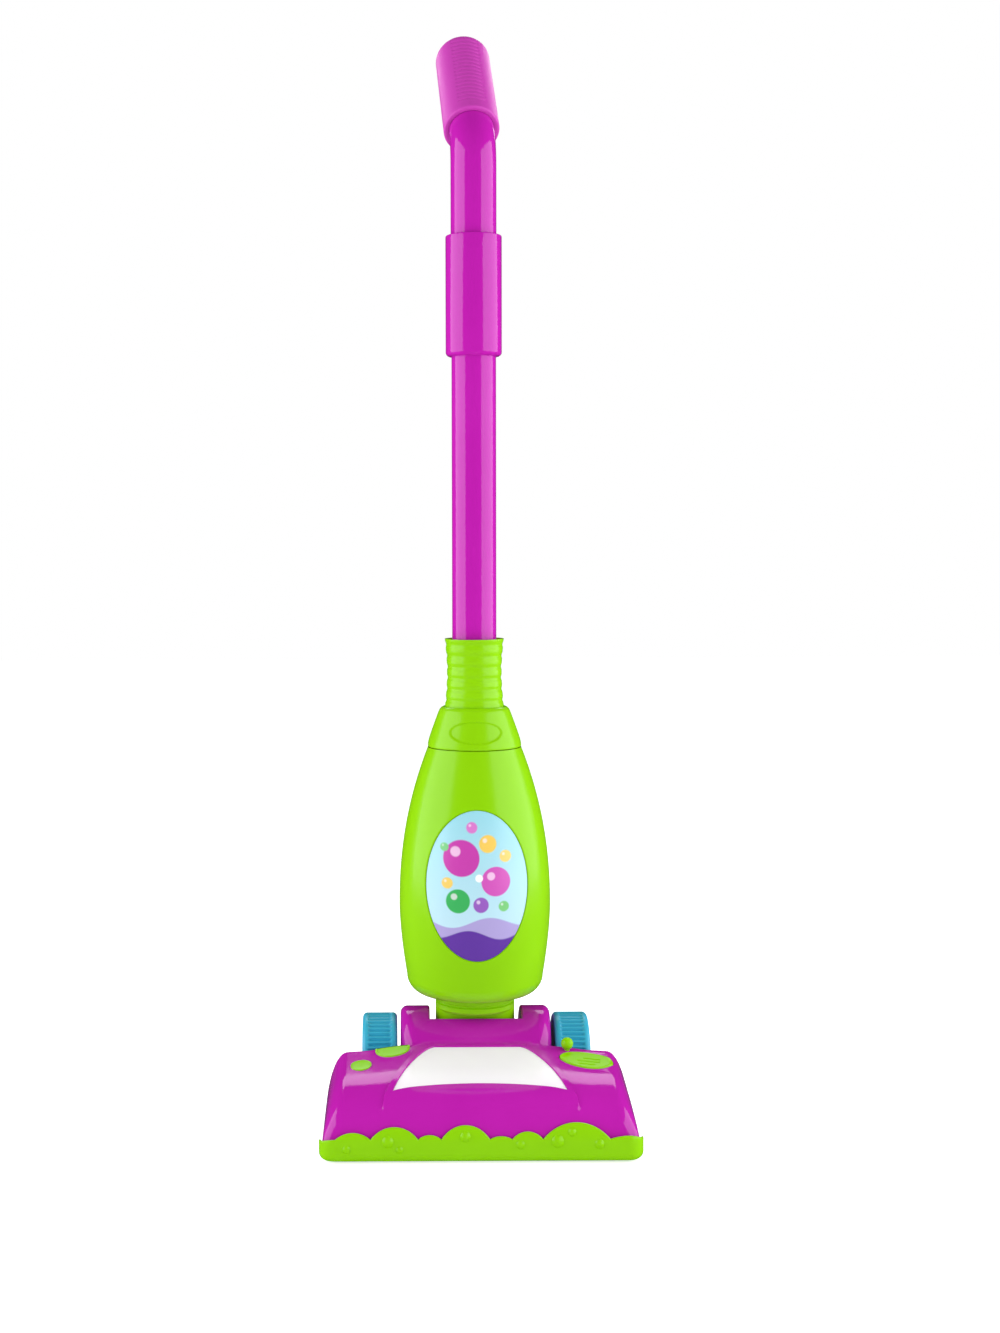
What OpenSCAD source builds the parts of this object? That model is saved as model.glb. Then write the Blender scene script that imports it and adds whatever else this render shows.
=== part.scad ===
/* [Overall] */
// Height from the floor to the top of the grip
total_h = 630; // [610:1:670]
// Width across the bumper
bumper_w = 175; // [170:1:186]
// Distance from the wheel axle to the front of the bumper
head_reach = 98; // [92:1:106]

/* [Head] */
// Height of the sole above the floor
base_z = 3; // [2:0.5:4]
// Height of the deck at its rear edge
deck_back_z = 44.5; // [43:0.5:50]
// Height of the top of the rounded nose
nose_top = 36.5; // [35:0.5:39]
// Radius of the rounded nose
nose_r = 27; // [24:0.5:29]
// Width of the rounded shoulders along both sides of the deck
shoulder_w = 24; // [15:0.5:30]
// Height at which the sides start to round into the shoulders
shoulder_z = 8; // [6:0.5:10]
// Radius of the two front corners, seen from above
corner_r = 7; // [5:0.5:10]
// Radius of the two rear corners, seen from above
back_corner_r = 9; // [4:0.5:14]
// Wall of the moulded shells
shell_wall = 2; // [1.6:0.1:2.6]
// Thickness of the sole plate and of the battery door
sole_t = 2.2; // [1.8:0.1:3]
// Diameter of the two glides under the sole plate
glide_d = 11; // [8:0.5:14]

/* [Bumper] */
// Thickness of the bumper outside the shell
bumper_t = 1.6; // [1.2:0.1:2.4]
// Height of the bumper between two lobes
bumper_h = 12.5; // [11:0.5:14]
// Gap between the bumper and the floor
bumper_gap = 1; // [0.5:0.25:2]
// Width of the bumper's lip under the shell
bumper_lip = 5; // [4:0.5:6]
// Length of the bumper's ends round the front corners
bumper_wrap = 12; // [10:0.5:30]

/* [Window] */
// Distance from the side of the shell to the window's rear corner
window_back_side = 61.25; // [58:0.25:64]
// Distance from the side of the shell to the window's front corner
window_side = 37.75; // [36:0.25:42]
// Length of the window, from the rear to the front
window_l = 46; // [38:0.5:48]
// Rise of the middle of the window's front edge towards the rear
window_bow = 4.5; // [0:0.5:6]
// Width of the hidden flange round the window
window_flange = 2.5; // [1.5:0.25:3.5]

/* [Deck trim] */
// Diameter of the large round spot
spot_d = 20; // [14:0.5:22]
// Diameter of the small round spot
small_spot_d = 12; // [8:0.5:13]
// Depth of the pockets that hold the spots
spot_depth = 1; // [0.6:0.1:1.2]
// Diameter of the ball at the rear edge of the deck
ball_d = 7; // [5:0.25:8]

/* [Foot button] */
// Width of the oval foot button
button_w = 30; // [26:0.5:31]
// Depth of the oval foot button, from front to rear
button_d = 18; // [15:0.5:19]
// Travel of the foot button
button_travel = 2.5; // [1.5:0.25:3]
// Wire of the button's return spring
spring_wire = 0.8; // [0.6:0.1:1]
// Mean diameter of the button's return spring
spring_d = 11; // [10:0.5:12.5]

/* [Wheels and axle] */
// Diameter of the wheels
wheel_d = 57; // [54:0.5:60]
// Width of the wheels
wheel_w = 20; // [16:0.5:21]
// Gap between the yoke and a wheel
wheel_gap = 2; // [1:0.25:3]
// Number of grooves across the tread
tread_n = 56; // [30:1:60]
// Diameter of the axle
axle_d = 5; // [4:0.5:6]

/* [Yoke] */
// Width across the yoke
yoke_w = 87; // [84:0.5:90]
// Diameter of the yoke about the axle
yoke_d = 65; // [63:0.5:68]
// Width of the slot for the neck
slot_w = 53; // [51:0.5:57]
// Rounding of the outer edges of the yoke
yoke_round = 4; // [2:0.5:7]

/* [Neck] */
// Width of the tongue that turns in the slot
neck_w = 46; // [42:0.5:48]
// Thickness of the tongue, from front to rear
neck_d = 24; // [20:0.5:26]
// Diameter of the hub on the axle
hub_d = 25; // [20:0.5:26]

/* [Body] */
// Largest diameter of the body
body_d = 87.6; // [84:0.2:88]
// Height of the underside of the body
body_z = 70.5; // [69:0.5:74]
// Height of the widest place of the body
belly_z = 122; // [116:1:132]
// Height of the seam between the body and the collar
seam_z = 214; // [206:1:220]
// Diameter of the body at the seam
seam_d = 54; // [52:0.5:58]
// Radius of the body's lower edge
heel_r = 11; // [8:0.5:13]
// Wall of the body shells
body_wall = 2; // [1.6:0.1:2.6]

/* [Label] */
// Width of the oval label
label_w = 58; // [48:0.5:60]
// Height of the oval label
label_h = 85; // [76:0.5:90]
// Height of the middle of the label above the floor
label_z = 139.5; // [130:0.5:144]

/* [Collar and ribbed neck] */
// Height of the collar
collar_h = 24; // [20:0.5:27]
// Diameter of the collar at its shoulder
collar_d = 45; // [42:0.5:47]
// Height of the top of the ribbed neck
rim_z = 276.5; // [266:0.5:284]
// Outer diameter of the ribbed neck
rim_d = 34; // [32.5:0.25:35]
// Number of ribs round the neck
rib_n = 6; // [4:1:8]

/* [Handle] */
// Diameter of the lower tube
tube_d = 25.4; // [24:0.2:26]
// Wall of the handle tubes
tube_wall = 1.8; // [1.4:0.1:2.2]
// Diameter of the upper tube
upper_d = 26; // [24.6:0.2:27]
// Outer diameter of the socket at the top of the lower tube
socket_d = 32; // [31:0.25:34]
// Distance from the top of the grip down to the lower end of the socket
socket_drop = 192.5; // [185:0.5:205]
// Length of the socket
socket_l = 68; // [60:1:76]
// Radius of the bend of the upper tube
bend_r = 30; // [24:1:36]
// Lean of the grip, away from the vertical
grip_lean = 45; // [38:1:52]
// Diameter of the grip
grip_d = 32; // [30:0.5:34]
// Length of the grip
grip_l = 78; // [60:1:90]
// Rounding of the closed end of the grip
grip_round = 6; // [4:0.5:9]
// Turn of the upper handle in its socket
handle_turn = 4; // [0:0.5:10]

/* [Hidden] */
$fn = 64;

// Overlap of cuts, and a size larger than the part
cut = 1;
far = 400;

// Clearances: glued or snapped seats, running shafts, pressed shafts, and moving shells
seat = 0.15;
running = 0.06;
pressed = 0.02;
moving = 0.4;
// Overlap of the bosses that grow out of a plate
sink = 0.5;

// Colours of the mouldings
magenta = [0.75, 0.12, 0.69];
green = [0.55, 0.84, 0.02];
teal = [0.24, 0.65, 0.80];
milk = [0.94, 0.94, 0.94];
steel = [0.72, 0.73, 0.75];

// Head: places of the nose and of the section behind the deck, in the axle's frame
axle_z = wheel_d / 2;
wheel_room = 2;
shell_hw = bumper_w / 2 - bumper_t - seat;
shell_front = -(head_reach - bumper_t - seat);
deck_y = -(wheel_d / 2 + wheel_room);
nose_y = shell_front + nose_r;
nose_z = nose_top - nose_r;
behind_deck = 6;
post_y = deck_y + behind_deck;
rise = [deck_y - nose_y, deck_back_z - nose_z];
slope = acos(nose_r / norm(rise)) - atan2(rise.x, rise.y);
nose_n = 9;
section_n = 10;
slice = 0.01;
sole_top = base_z + sole_t;

// Yoke, slot and hub
slot_room = 1;
slot_y = -(neck_d / 2 + slot_room);
yoke_r = yoke_d / 2;
boss_wall = 3.5;
boss_r = axle_d / 2 + boss_wall;
barrel_edge = 0.5;

// Foot button: its middle, the end of its guide, and the stack below it
button_side = 24.75;
button_x = shell_hw - button_side;
button_margin = 4.4;
button_y = deck_y - button_margin - button_d / 2;
guide_h = 26;
guide_z = base_z + guide_h;
guide_wall = 1.6;
flange_t = 1.6;
flange_w = 1.4;
button_foot = guide_z - moving - flange_t;
stem_d = 7;
pillar_h = 7;
pillar_d = 15;
switch_w = 6;
switch_h = 3.5;
plunger_d = 3.4;
plunger_h = 1.8;
pillar_top = sole_top + pillar_h;
switch_top = pillar_top + switch_h + plunger_h;
stem_z = switch_top + button_travel + moving;
spring_turns = 6;
spring_ring = 12;
spring_sides = 6;
button_proud = 0.8;
button_line_l = 12;
button_line_w = 1;
button_line_pitch = 3;
spring_seat_d = spring_d + 3 * spring_wire;

// Spots and ball on the deck
spot_side = 37.75;
spot_x = -(shell_hw - spot_side);
spot_in = 1.5;
spot_y = deck_y - spot_in;
small_spot_side = 20.25;
small_spot_x = -(shell_hw - small_spot_side);
small_spot_in = 17.5;
small_spot_y = deck_y - small_spot_in;
spot_proud = 0.4;
ball_x = button_x - button_w / 3;
ball_over = 0.5;
ball_y = deck_y - ball_d / 2 + ball_over;
ball_lift = ball_d / 2 / cos(slope) + seat;
ball_peg_d = 3;
ball_peg_l = 4;

// Battery box: two AA cells side by side, with a contact at each end
cell_d = 14.2;
cell_l = 49.5;
cell_nub_d = 5.2;
cell_nub_l = 1.4;
cell_pitch = 15.2;
cell_gap = 0.3;
contact_t = 0.5;
contact_w = 10;
contact_nib = 1.2;
box_wall = 1.6;
box_in = 19;
box_y = deck_y - shell_wall - box_in;
box_l = cell_l + cell_nub_l + 2 * (contact_t + contact_nib);
box_w = cell_pitch + cell_d + 2 * cell_gap;
cell_z = sole_top + cell_gap + cell_d / 2;
box_top = cell_z + cell_d / 2 + cell_gap;
board_lift = 2;
board_z = box_top + box_wall + board_lift;
board_w = 58;
board_d = 24;
board_t = 1.6;
rib_w = 4;
chip_w = 9;
chip_d = 9;
chip_t = 1.4;
led_d = 5;
led_h = 4;
led_pitch = 20;
door_rim = 4;
door_lap = 1.5;
door_l = box_l + 2 * door_rim;
door_w = box_w + 2 * door_lap;
door_screw_in = 1.4;
door_screw_x = box_l / 2 + door_screw_in;

// Speaker under the two spots
speaker_d = 28;
speaker_side = 25;
speaker_x = -(shell_hw - speaker_side);
speaker_in = 22.5;
speaker_y = shell_front + speaker_in;
speaker_h = 9;
speaker_rim_t = 2;
speaker_rim_w = 1.5;
magnet_d = 16;
sound_d = 2.6;
sound_ring = 8;
sound_n = 8;

// Screws: shank, head, and the places of the four that hold the sole
screw_d = 2.6;
screw_head_d = 5.4;
screw_head_t = 1.3;
screw_l = 11;
screw_boss_d = 7;
boss_front_side = 6.25;
boss_front_x = shell_hw - boss_front_side;
boss_front_in = 10.25;
boss_front_y = shell_front + boss_front_in;
boss_back_x = 40;
boss_back_in = 4.5;
boss_back_y = deck_y - shell_wall - boss_back_in;
sole_screws = [for (x = [-1, 1]) each [
    [x * boss_front_x, boss_front_y], [x * boss_back_x, boss_back_y]]];
glide_side = 40;
glide_x = shell_hw - glide_side;
glide_in = 12;
glide_y = nose_y - glide_in;

// Window: its rear edge, its depth below the deck and its thickness below the shell's wall
window_y = deck_y - shell_wall;
window_back = shell_hw - window_back_side;
window_front = shell_hw - window_side;
window_low = 0.3;
window_under = 1.4;
window_power = 0.64;
window_n = 12;
// Bevel of the bumper's lower edge
bumper_bevel = 4;

// Wheels: rounding of the tread, dished outer face with a hub cap, grooves, and hollow inner face
tread_round = 2.5;
rim_w = 7;
rim_bevel = 1;
dish = 3;
cap_r = 9;
cap_bevel = 1;
cap_low = 0.5;
groove_r = 0.9;
groove_rim = 2;
hollow_in = 5;
hollow_hub = 8;
axle_seat = wheel_w * 3 / 4;
axle_half = yoke_w / 2 + wheel_gap + axle_seat;

// Body: profile of the outside, from the heel to the seam
body_r = body_d / 2;
heel_z = body_z + heel_r;
heel_out = 4.2;
heel_power = 1.6;
waist_power = 2.15;
profile_n = 10;
body_screw_x = 24;
body_screw_low = 24;
body_screw_high = 34;
body_screw_zs = [belly_z - body_screw_low, belly_z + body_screw_high];
post_d = 8;
post_hole_d = 6;
screw_seat = 10;
label_depth = 0.9;
label_t = 0.6;
neck_ring_d = neck_w;
neck_ring_h = 9;
neck_ring_z = body_z - neck_ring_h;
neck_bevel = 1;
neck_groove = 0.8;
neck_groove_z = 3.5;
neck_groove_w = 0.6;
neck_flange_w = 3;
neck_flange_t = 3;
neck_wall = 3;

// Collar, ribbed neck and handle
collar_top = seam_z + collar_h;
collar_wall = 2.2;
collar_lip = 0.5;
collar_gap = 0.2;
collar_step = 6;
collar_edge = 1.2;
collar_fall = 2;
spigot_r = seam_d / 2 - collar_wall - seat;
spigot_h = 4;
badge_w = 31;
badge_h = 13;
badge_depth = 0.6;
badge_up = 10;
badge_z = seam_z + badge_up;
neck_flange_z = collar_top - collar_wall;
rib_depth = 0.7;
rim_waist = 1.4;
rim_mouth = 2;
rim_flange_w = 1.6;
rim_flange_t = 4;
rib_steps = 8;
tube_r = tube_d / 2;
tube_in = 3;
tube_foot = seam_z + tube_in;
upper_r = upper_d / 2;
socket_z = total_h - socket_drop;
socket_floor = 7;
socket_round = 3;
socket_bevel = 0.6;
socket_cone = 2;
bend_end = [bend_r * (1 - cos(grip_lean)), bend_r * sin(grip_lean)];
grip_r = grip_d / 2;
grip_top = (grip_l - grip_round) * cos(grip_lean)
    + (grip_r - grip_round) * sin(grip_lean) + grip_round;
grip_back = (grip_l - grip_round) * sin(grip_lean)
    + (grip_r - grip_round) * cos(grip_lean) + grip_round;
bend_z = total_h - grip_top - bend_end.y;
grip_end = 12;
tail_l = grip_l - grip_end;
bend_n = 8;
tube_sides = 40;
grip_bevel = 1;
grip_rib_z = 8;
grip_ribs = 17;
grip_rib_pitch = 3.8;
grip_rib_w = 16;
grip_rib_t = 1;
grip_rib_deep = 0.7;
grip_rib_cut = grip_rib_deep + grip_r - sqrt(grip_r * grip_r - grip_rib_w * grip_rib_w / 4);

// Front profile of the bumper: left edge, right edge and top of each lobe
lobes = [[-78.5, -59.5, 15.7], [-59.5, -34, 18.6], [-34, -21.5, 14.6], [-21.5, 4.5, 19.5],
    [4.5, 18, 14], [18, 33, 16.3], [33, 71.5, 20.8], [71.5, 90, 14]];
// Raised dots on the bumper: place across, height and radius
dots = [[-73, 6, 2.2], [-51, 10, 3.2], [-44, 6, 2], [-8.5, 13.5, 2.8], [23, 8.5, 2.4],
    [42, 11, 3.4], [50, 16, 2.2], [65, 8.5, 2.6]];

// Dots of the bumper: swell of their spheres, and the share of a sphere's radius below the surface
dot_swell = 1.3;
dot_share = 0.65;
dot_proud = max([for (d = dots) d[2]]) * dot_swell * (1 - dot_share);

// The part stands with the middle of its depth on the origin
back_reach = max(yoke_r, (bend_end.x + grip_back) * cos(handle_turn));
axle_y = (head_reach + dot_proud - back_reach) / 2;

// Points of an arc, for polygons
function arc(c, r, from, to, n) = [for (i = [0 : n]) let (a = from + (to - from) * i / n)
    c + r * [cos(a), sin(a)]];
// Points of an oval of given width and height
function oval(w, h, n = 48) = [for (i = [0 : n - 1]) let (a = 360 * i / n)
    [w / 2 * cos(a), h / 2 * sin(a)]];
// Height of the deck at a place between its rear edge and the nose
function deck_z(y) = deck_back_z + tan(slope) * (y - deck_y);
// Front of the nose, grown by a margin, at a place across and a height
function nose_front(x, z, margin) = let (dx = max(0, abs(x) - (shell_hw - shoulder_w)) / shoulder_w,
    dz = max(0, shoulder_z + (z - shoulder_z) / sqrt(1 - dx * dx) - nose_z))
    nose_y - sqrt(pow(nose_r + margin, 2) - dz * dz);
// Half width of the window at a share of its length from the rear
function window_hw(s) = window_back + (window_front - window_back) * pow(s, window_power);
// Radius of the body at a height between the heel and the seam
function body_at(z) = z < belly_z
    ? body_r - heel_out * pow((belly_z - z) / (belly_z - heel_z), heel_power)
    : body_r - (body_r - seam_d / 2) * pow((z - belly_z) / (seam_z - belly_z), waist_power);
// Outline of the body, pulled in by a margin, from the bottom to the seam
function body_outline(t) = let (r = body_at(heel_z) - heel_r) concat(
    [[0, body_z + t]],
    arc([r, heel_z], heel_r - t, -90, 0, 6),
    [for (i = [1 : profile_n]) let (z = heel_z + (belly_z - heel_z) * i / profile_n)
        [body_at(z) - t, z]],
    [for (i = [1 : profile_n]) let (z = belly_z + (seam_z - belly_z) * i / profile_n)
        [body_at(z) - t, z]],
    [[0, seam_z]]);

// Triangles of a skin over rings of points, seen from outside, from the first point on
function skin(rings, sides, first) = [for (i = [0 : rings - 2]) for (j = [0 : sides - 1])
    let (p = first + i * sides + j, q = first + i * sides + (j + 1) % sides)
    each [[p, p + sides, q + sides], [p, q + sides, q]]];
// Triangles of a flat ring between two rings of points
function bridge(sides, a, b) = [for (j = [0 : sides - 1]) let (k = (j + 1) % sides)
    each [[a + j, b + j, b + k], [a + j, b + k, a + k]]];
// The same triangles, facing the other way
function flip(faces) = [for (f = faces) [f[0], f[2], f[1]]];

// Puts a piece that is drawn about the axle into the part's frame
module place() translate([0, axle_y, 0]) children();
// Lays a piece that is drawn along Z along X
module across() rotate([0, 90, 0]) children();
// The head's loaf shape, pulled in by a margin: arched sections from the nose to behind the deck
module loaf(t, foot = base_z, bevel = 0) hull() {
    r = nose_r - t;
    for (i = [0 : nose_n]) let (a = (90 - slope) * i / nose_n, y = nose_y - r * cos(a))
        section(t, y, nose_z + r * sin(a), foot + max(0, bevel - (y - nose_y + r)), bevel);
    section(t, post_y, deck_z(post_y) - t / cos(slope), foot, bevel);
}
// One upright section of the loaf, as a thin slice: straight sides and two quarter ovals to the deck
module section(t, y, top, foot, bevel) {
    turn = max(0, corner_r - (y - shell_front - t));
    w = shell_hw - t - corner_r + sqrt(max(0, corner_r * corner_r - turn * turn));
    half = concat([[w - bevel, foot], [w, foot + bevel]],
        [for (i = [0 : section_n]) let (a = 90 * i / section_n)
        [w - (shoulder_w - t) * (1 - cos(a)), shoulder_z + max(top - shoulder_z, slice) * sin(a)]]);
    translate([0, y + slice, 0]) rotate([90, 0, 0]) linear_extrude(slice)
        polygon(concat(half, [for (i = [len(half) - 1 : -1 : 0]) [-half[i].x, half[i].y]]));
}
// Plan of the head behind the nose, with its two rear corners round
module head_plan(t, grow = 0) {
    w = shell_hw - t + grow;
    y = deck_y - t;
    r = back_corner_r;
    translate([0, 0, -cut]) linear_extrude(far) polygon(concat(
        [[w, -far], [w, y - r]], arc([w - r, y - r], r, 0, 90, 6),
        arc([-w + r, y - r], r, 90, 180, 6), [[-w, -far]]));
}
// The yoke's barrel with round edges, pulled in by a margin
module barrel(t) place() translate([0, 0, axle_z]) across() {
    w = yoke_w / 2 - t;
    r = yoke_r - t;
    e = max(yoke_round - t, barrel_edge);
    rotate_extrude() polygon(concat([[0, -w]], arc([r - e, -w + e], e, -90, 0, 6),
        arc([r - e, w - e], e, 0, 90, 6), [[0, w]]));
}
// A block over the slot of the yoke, grown by a margin
module slot_block(t) place() translate([-slot_w / 2 - t, slot_y - t, -cut])
    cube([slot_w + 2 * t, far, far]);
// Everything above the underside of the head
module above(z) translate([-far / 2, -far / 2, z]) cube(far);
// Window outline, grown by a margin
module window_block(t) place() linear_extrude(far) {
    side = [for (i = [0 : window_n]) let (u = i / window_n)
        [window_hw(u) + t, window_y - window_l * u + t * (1 - 2 * u)]];
    edge = side[window_n];
    front = [for (i = [1 : window_n - 1]) let (u = 1 - 2 * i / window_n)
        [edge.x * u, edge.y + window_bow * (1 - u * u)]];
    polygon(concat(side, front, [for (i = [window_n : -1 : 0]) [-side[i].x, side[i].y]]));
}
// Oval outline of the foot button, grown by a margin
module button_block(t) place() translate([button_x, button_y, 0])
    linear_extrude(far) polygon(oval(button_w + 2 * t, button_d + 2 * t));
// Pockets or inlays of the deck's two spots
module spot_blocks(t) place() {
    translate([spot_x, spot_y, 0]) cylinder(d = spot_d + 2 * t, h = far);
    translate([small_spot_x, small_spot_y, 0]) cylinder(d = small_spot_d + 2 * t, h = far);
}
// A screw with a round head, its head down
module screw(l) {
    cylinder(d = screw_head_d, h = screw_head_t);
    cylinder(d = screw_d - 2 * pressed, h = l);
}
// A solid of revolution between two radii
module ring(outer, inner, h) difference() {
    cylinder(r = outer, h = h);
    translate([0, 0, -cut]) cylinder(r = inner, h = h + 2 * cut);
}
// The loaf cut to the plan of the head, pulled in by a margin
module head_solid(t, foot = base_z) intersection() {
    place() loaf(t, foot);
    union() {
        place() head_plan(t);
        place() translate([-yoke_w / 2 + yoke_round, -far, -cut])
            cube([yoke_w - 2 * yoke_round, far - yoke_r / 2, far]);
    }
}

module head_shell() color(magenta) {
    difference() {
        union() {
            head_solid(0);
            intersection() {
                barrel(0);
                above(base_z);
            }
        }
        difference() {
            intersection() {
                place() loaf(shell_wall, base_z - cut);
                place() head_plan(shell_wall);
            }
            screw_bosses();
            button_guide();
        }
        difference() {
            barrel(shell_wall);
            slot_block(shell_wall);
            place() translate([-far / 2, 0, axle_z]) across() cylinder(r = boss_r, h = far);
        }
        slot_block(0);
        window_block(0);
        button_block(moving);
        difference() {
            spot_blocks(0);
            place() loaf(spot_depth, base_z);
        }
        place() translate([ball_x, ball_y, 0]) cylinder(d = ball_peg_d, h = far);
        place() translate([-far / 2, 0, axle_z]) across() cylinder(r = axle_d / 2 + running, h = far);
        place() for (p = sole_screws) translate([p.x, p.y, base_z - cut])
            cylinder(d = screw_d, h = screw_l + cut);
    }
    place() for (side = [0, 180]) rotate(side) translate([neck_w / 2 + moving, 0, axle_z]) across()
        ring(boss_r, axle_d / 2 + running, (slot_w - neck_w) / 2 - moving + sink);
}
// Posts inside the shell that take the screws of the sole
module screw_bosses() place() for (p = sole_screws) translate([p.x, p.y, sole_top])
    cylinder(d = screw_boss_d, h = far);
// Tube inside the shell that guides the foot button
module button_guide() difference() {
    intersection() {
        button_block(moving + guide_wall);
        above(guide_z);
    }
    button_block(moving);
}

module bumper() color(green) {
    grown = bumper_t + seat;
    difference() {
        intersection() {
            place() loaf(-grown, bumper_gap, bumper_bevel);
            place() head_plan(0, grown);
            place() translate([-far / 2, shell_front + bumper_wrap - far, 0]) cube(far);
            union() {
                translate([-far / 2, -far / 2, 0]) cube([far, far, bumper_h]);
                place() rotate([90, 0, 0]) linear_extrude(far) for (l = lobes) lobe(l[0], l[1], l[2]);
            }
        }
        place() loaf(-seat, base_z);
        intersection() {
            place() loaf(bumper_lip, 0);
            place() head_plan(bumper_lip - far / 2, far / 2);
        }
    }
    intersection() {
        place() for (d = dots) let (r = d[2] * dot_swell)
            translate([d[0], nose_front(d[0], d[1], grown) + r * dot_share, d[1]]) sphere(r);
        difference() {
            above(bumper_gap);
            place() loaf(-seat - bumper_t / 2, base_z);
        }
    }
}
// One round lobe of the bumper's upper edge, as a disc through its two ends and its top
module lobe(left, right, top) {
    half = (right - left) / 2;
    sag = top - bumper_h;
    r = (half * half + sag * sag) / (2 * sag);
    translate([left + half, top - r]) circle(r, $fn = 128);
}

module sole_plate() color(green) difference() {
    union() {
        difference() {
            intersection() {
                place() loaf(shell_wall + seat, base_z - cut);
                place() head_plan(shell_wall + seat);
                translate([-far / 2, -far / 2, base_z]) cube([far, far, sole_t]);
            }
            place() translate([-box_l / 2, box_y - box_w / 2, 0]) cube([box_l, box_w, far]);
            place() translate([-door_l / 2 - seat, box_y - door_w / 2 - seat, 0])
                cube([door_l + 2 * seat, door_w + 2 * seat, base_z + sole_t / 2]);
        }
        place() translate([0, box_y, sole_top]) difference() {
            translate([-box_l / 2 - box_wall, -box_w / 2 - box_wall, -sink])
                cube([box_l + 2 * box_wall, box_w + 2 * box_wall, box_top + box_wall - sole_top + sink]);
            translate([-box_l / 2, -box_w / 2, -cut]) cube([box_l, box_w, box_top - sole_top + cut]);
        }
        place() for (side = [-1, 1])
            translate([side * board_w / 3 - rib_w / 2, box_y - board_d / 2, box_top])
                cube([rib_w, board_d, board_z - box_top]);
        place() translate([button_x, button_y, sole_top - sink])
            cylinder(d = pillar_d, h = pillar_h + sink);
        place() translate([speaker_x, speaker_y, sole_top - sink])
            ring(speaker_d / 2 + seat + box_wall, speaker_d / 2 + seat, speaker_h / 2 + sink);
        place() for (side = [-1, 1]) translate([side * glide_x, glide_y, 0])
            cylinder(d = glide_d, h = base_z + cut);
    }
    place() for (p = sole_screws) translate([p.x, p.y, 0]) {
        cylinder(d = screw_d + 2 * seat, h = far);
        cylinder(d = screw_head_d + 2 * seat, h = base_z + screw_head_t);
    }
    place() translate([door_screw_x, box_y, 0]) cylinder(d = screw_d, h = sole_top + cut);
    place() translate([speaker_x, speaker_y, 0]) for (i = [0 : sound_n - 1]) rotate(i * 360 / sound_n)
        translate([sound_ring, 0, 0]) cylinder(d = sound_d, h = sole_top + cut);
}

// Milky plate that fills the hole in the deck, with a flange under the shell's wall
module window() color(milk) difference() {
    union() {
        intersection() {
            window_block(-seat);
            place() loaf(window_low, base_z);
        }
        intersection() {
            window_block(window_flange);
            place() head_plan(shell_wall + seat);
            place() loaf(shell_wall + seat, base_z);
        }
    }
    place() loaf(shell_wall + window_under, base_z);
}

module deck_spots() color(green) intersection() {
    spot_blocks(-seat);
    place() head_plan(0);
    difference() {
        place() loaf(-spot_proud, base_z);
        place() loaf(spot_depth, base_z);
    }
}

module deck_ball() color(green) place() translate([ball_x, ball_y, deck_z(ball_y)]) {
    translate([0, 0, ball_lift]) sphere(d = ball_d);
    translate([0, 0, -ball_peg_l]) cylinder(d = ball_peg_d - 2 * pressed, h = ball_peg_l + ball_lift);
}

module foot_button() color(green) {
    difference() {
        union() {
            intersection() {
                button_block(0);
                place() loaf(-button_proud, base_z);
                above(button_foot);
            }
            intersection() {
                button_block(flange_w + moving);
                translate([-far / 2, -far / 2, button_foot]) cube([far, far, flange_t]);
            }
        }
        difference() {
            intersection() {
                button_block(-guide_wall);
                place() loaf(shell_wall, base_z);
            }
            place() translate([button_x, button_y, 0]) cylinder(d = stem_d, h = far);
            place() translate([button_x, button_y, button_foot])
                cylinder(d = spring_seat_d, h = flange_t);
        }
        place() for (i = [-1 : 1]) button_line(button_y + button_line_pitch * i);
    }
    place() translate([button_x, button_y, stem_z])
        cylinder(d = stem_d, h = button_foot - stem_z + flange_t / 2);
}
// One short line sunk into the top of the foot button
module button_line(y) translate([button_x - button_line_l / 2, y, deck_z(y)]) rotate([slope, 0, 0])
    cube([button_line_l, button_line_w, far]);

// Return spring: one round wire wound on a helix between the pillar and the button
module button_spring() color(steel) {
    foot = pillar_top + spring_wire / 2 + seat / 2;
    lift = button_foot - pillar_top - spring_wire - seat;
    rings = spring_turns * spring_ring;
    points = [for (i = [0 : rings]) for (j = [0 : spring_sides - 1])
        let (turn = 360 * i / spring_ring, a = 360 * j / spring_sides,
            r = spring_d / 2 + spring_wire / 2 * cos(a))
        [r * cos(turn), r * sin(turn), lift * i / rings + spring_wire / 2 * sin(a)]];
    caps = concat([for (j = [1 : spring_sides - 2]) [0, j + 1, j]],
        [for (j = [1 : spring_sides - 2]) let (b = rings * spring_sides) [b, b + j, b + j + 1]]);
    place() translate([button_x, button_y, foot])
        polyhedron(points, concat(flip(skin(rings + 1, spring_sides, 0)), caps));
}

module push_switch() color("dimgray") place() translate([button_x, button_y, pillar_top]) {
    translate([-switch_w / 2, -switch_w / 2, 0]) cube([switch_w, switch_w, switch_h]);
    cylinder(d = plunger_d, h = switch_h + plunger_h);
}

module circuit_board() color("darkgreen") place() translate([0, box_y, board_z]) {
    translate([-board_w / 2, -board_d / 2, 0]) cube([board_w, board_d, board_t]);
    translate([-(chip_w + led_pitch) / 2, -chip_d / 2, board_t / 2])
        cube([chip_w, chip_d, chip_t + board_t / 2]);
}

module leds() color("lightyellow") place() for (i = [-1 : 1])
    translate([i * led_pitch, box_y, board_z + board_t]) {
        cylinder(d = led_d, h = led_h);
        translate([0, 0, led_h]) sphere(d = led_d);
    }

module speaker() color("black") place() translate([speaker_x, speaker_y, sole_top]) {
    cylinder(d = speaker_d, h = speaker_rim_t);
    translate([0, 0, speaker_rim_t - sink])
        cylinder(d1 = speaker_d - 2 * speaker_rim_w, d2 = magnet_d, h = speaker_h / 2);
    cylinder(d = magnet_d, h = speaker_h);
}

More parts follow.
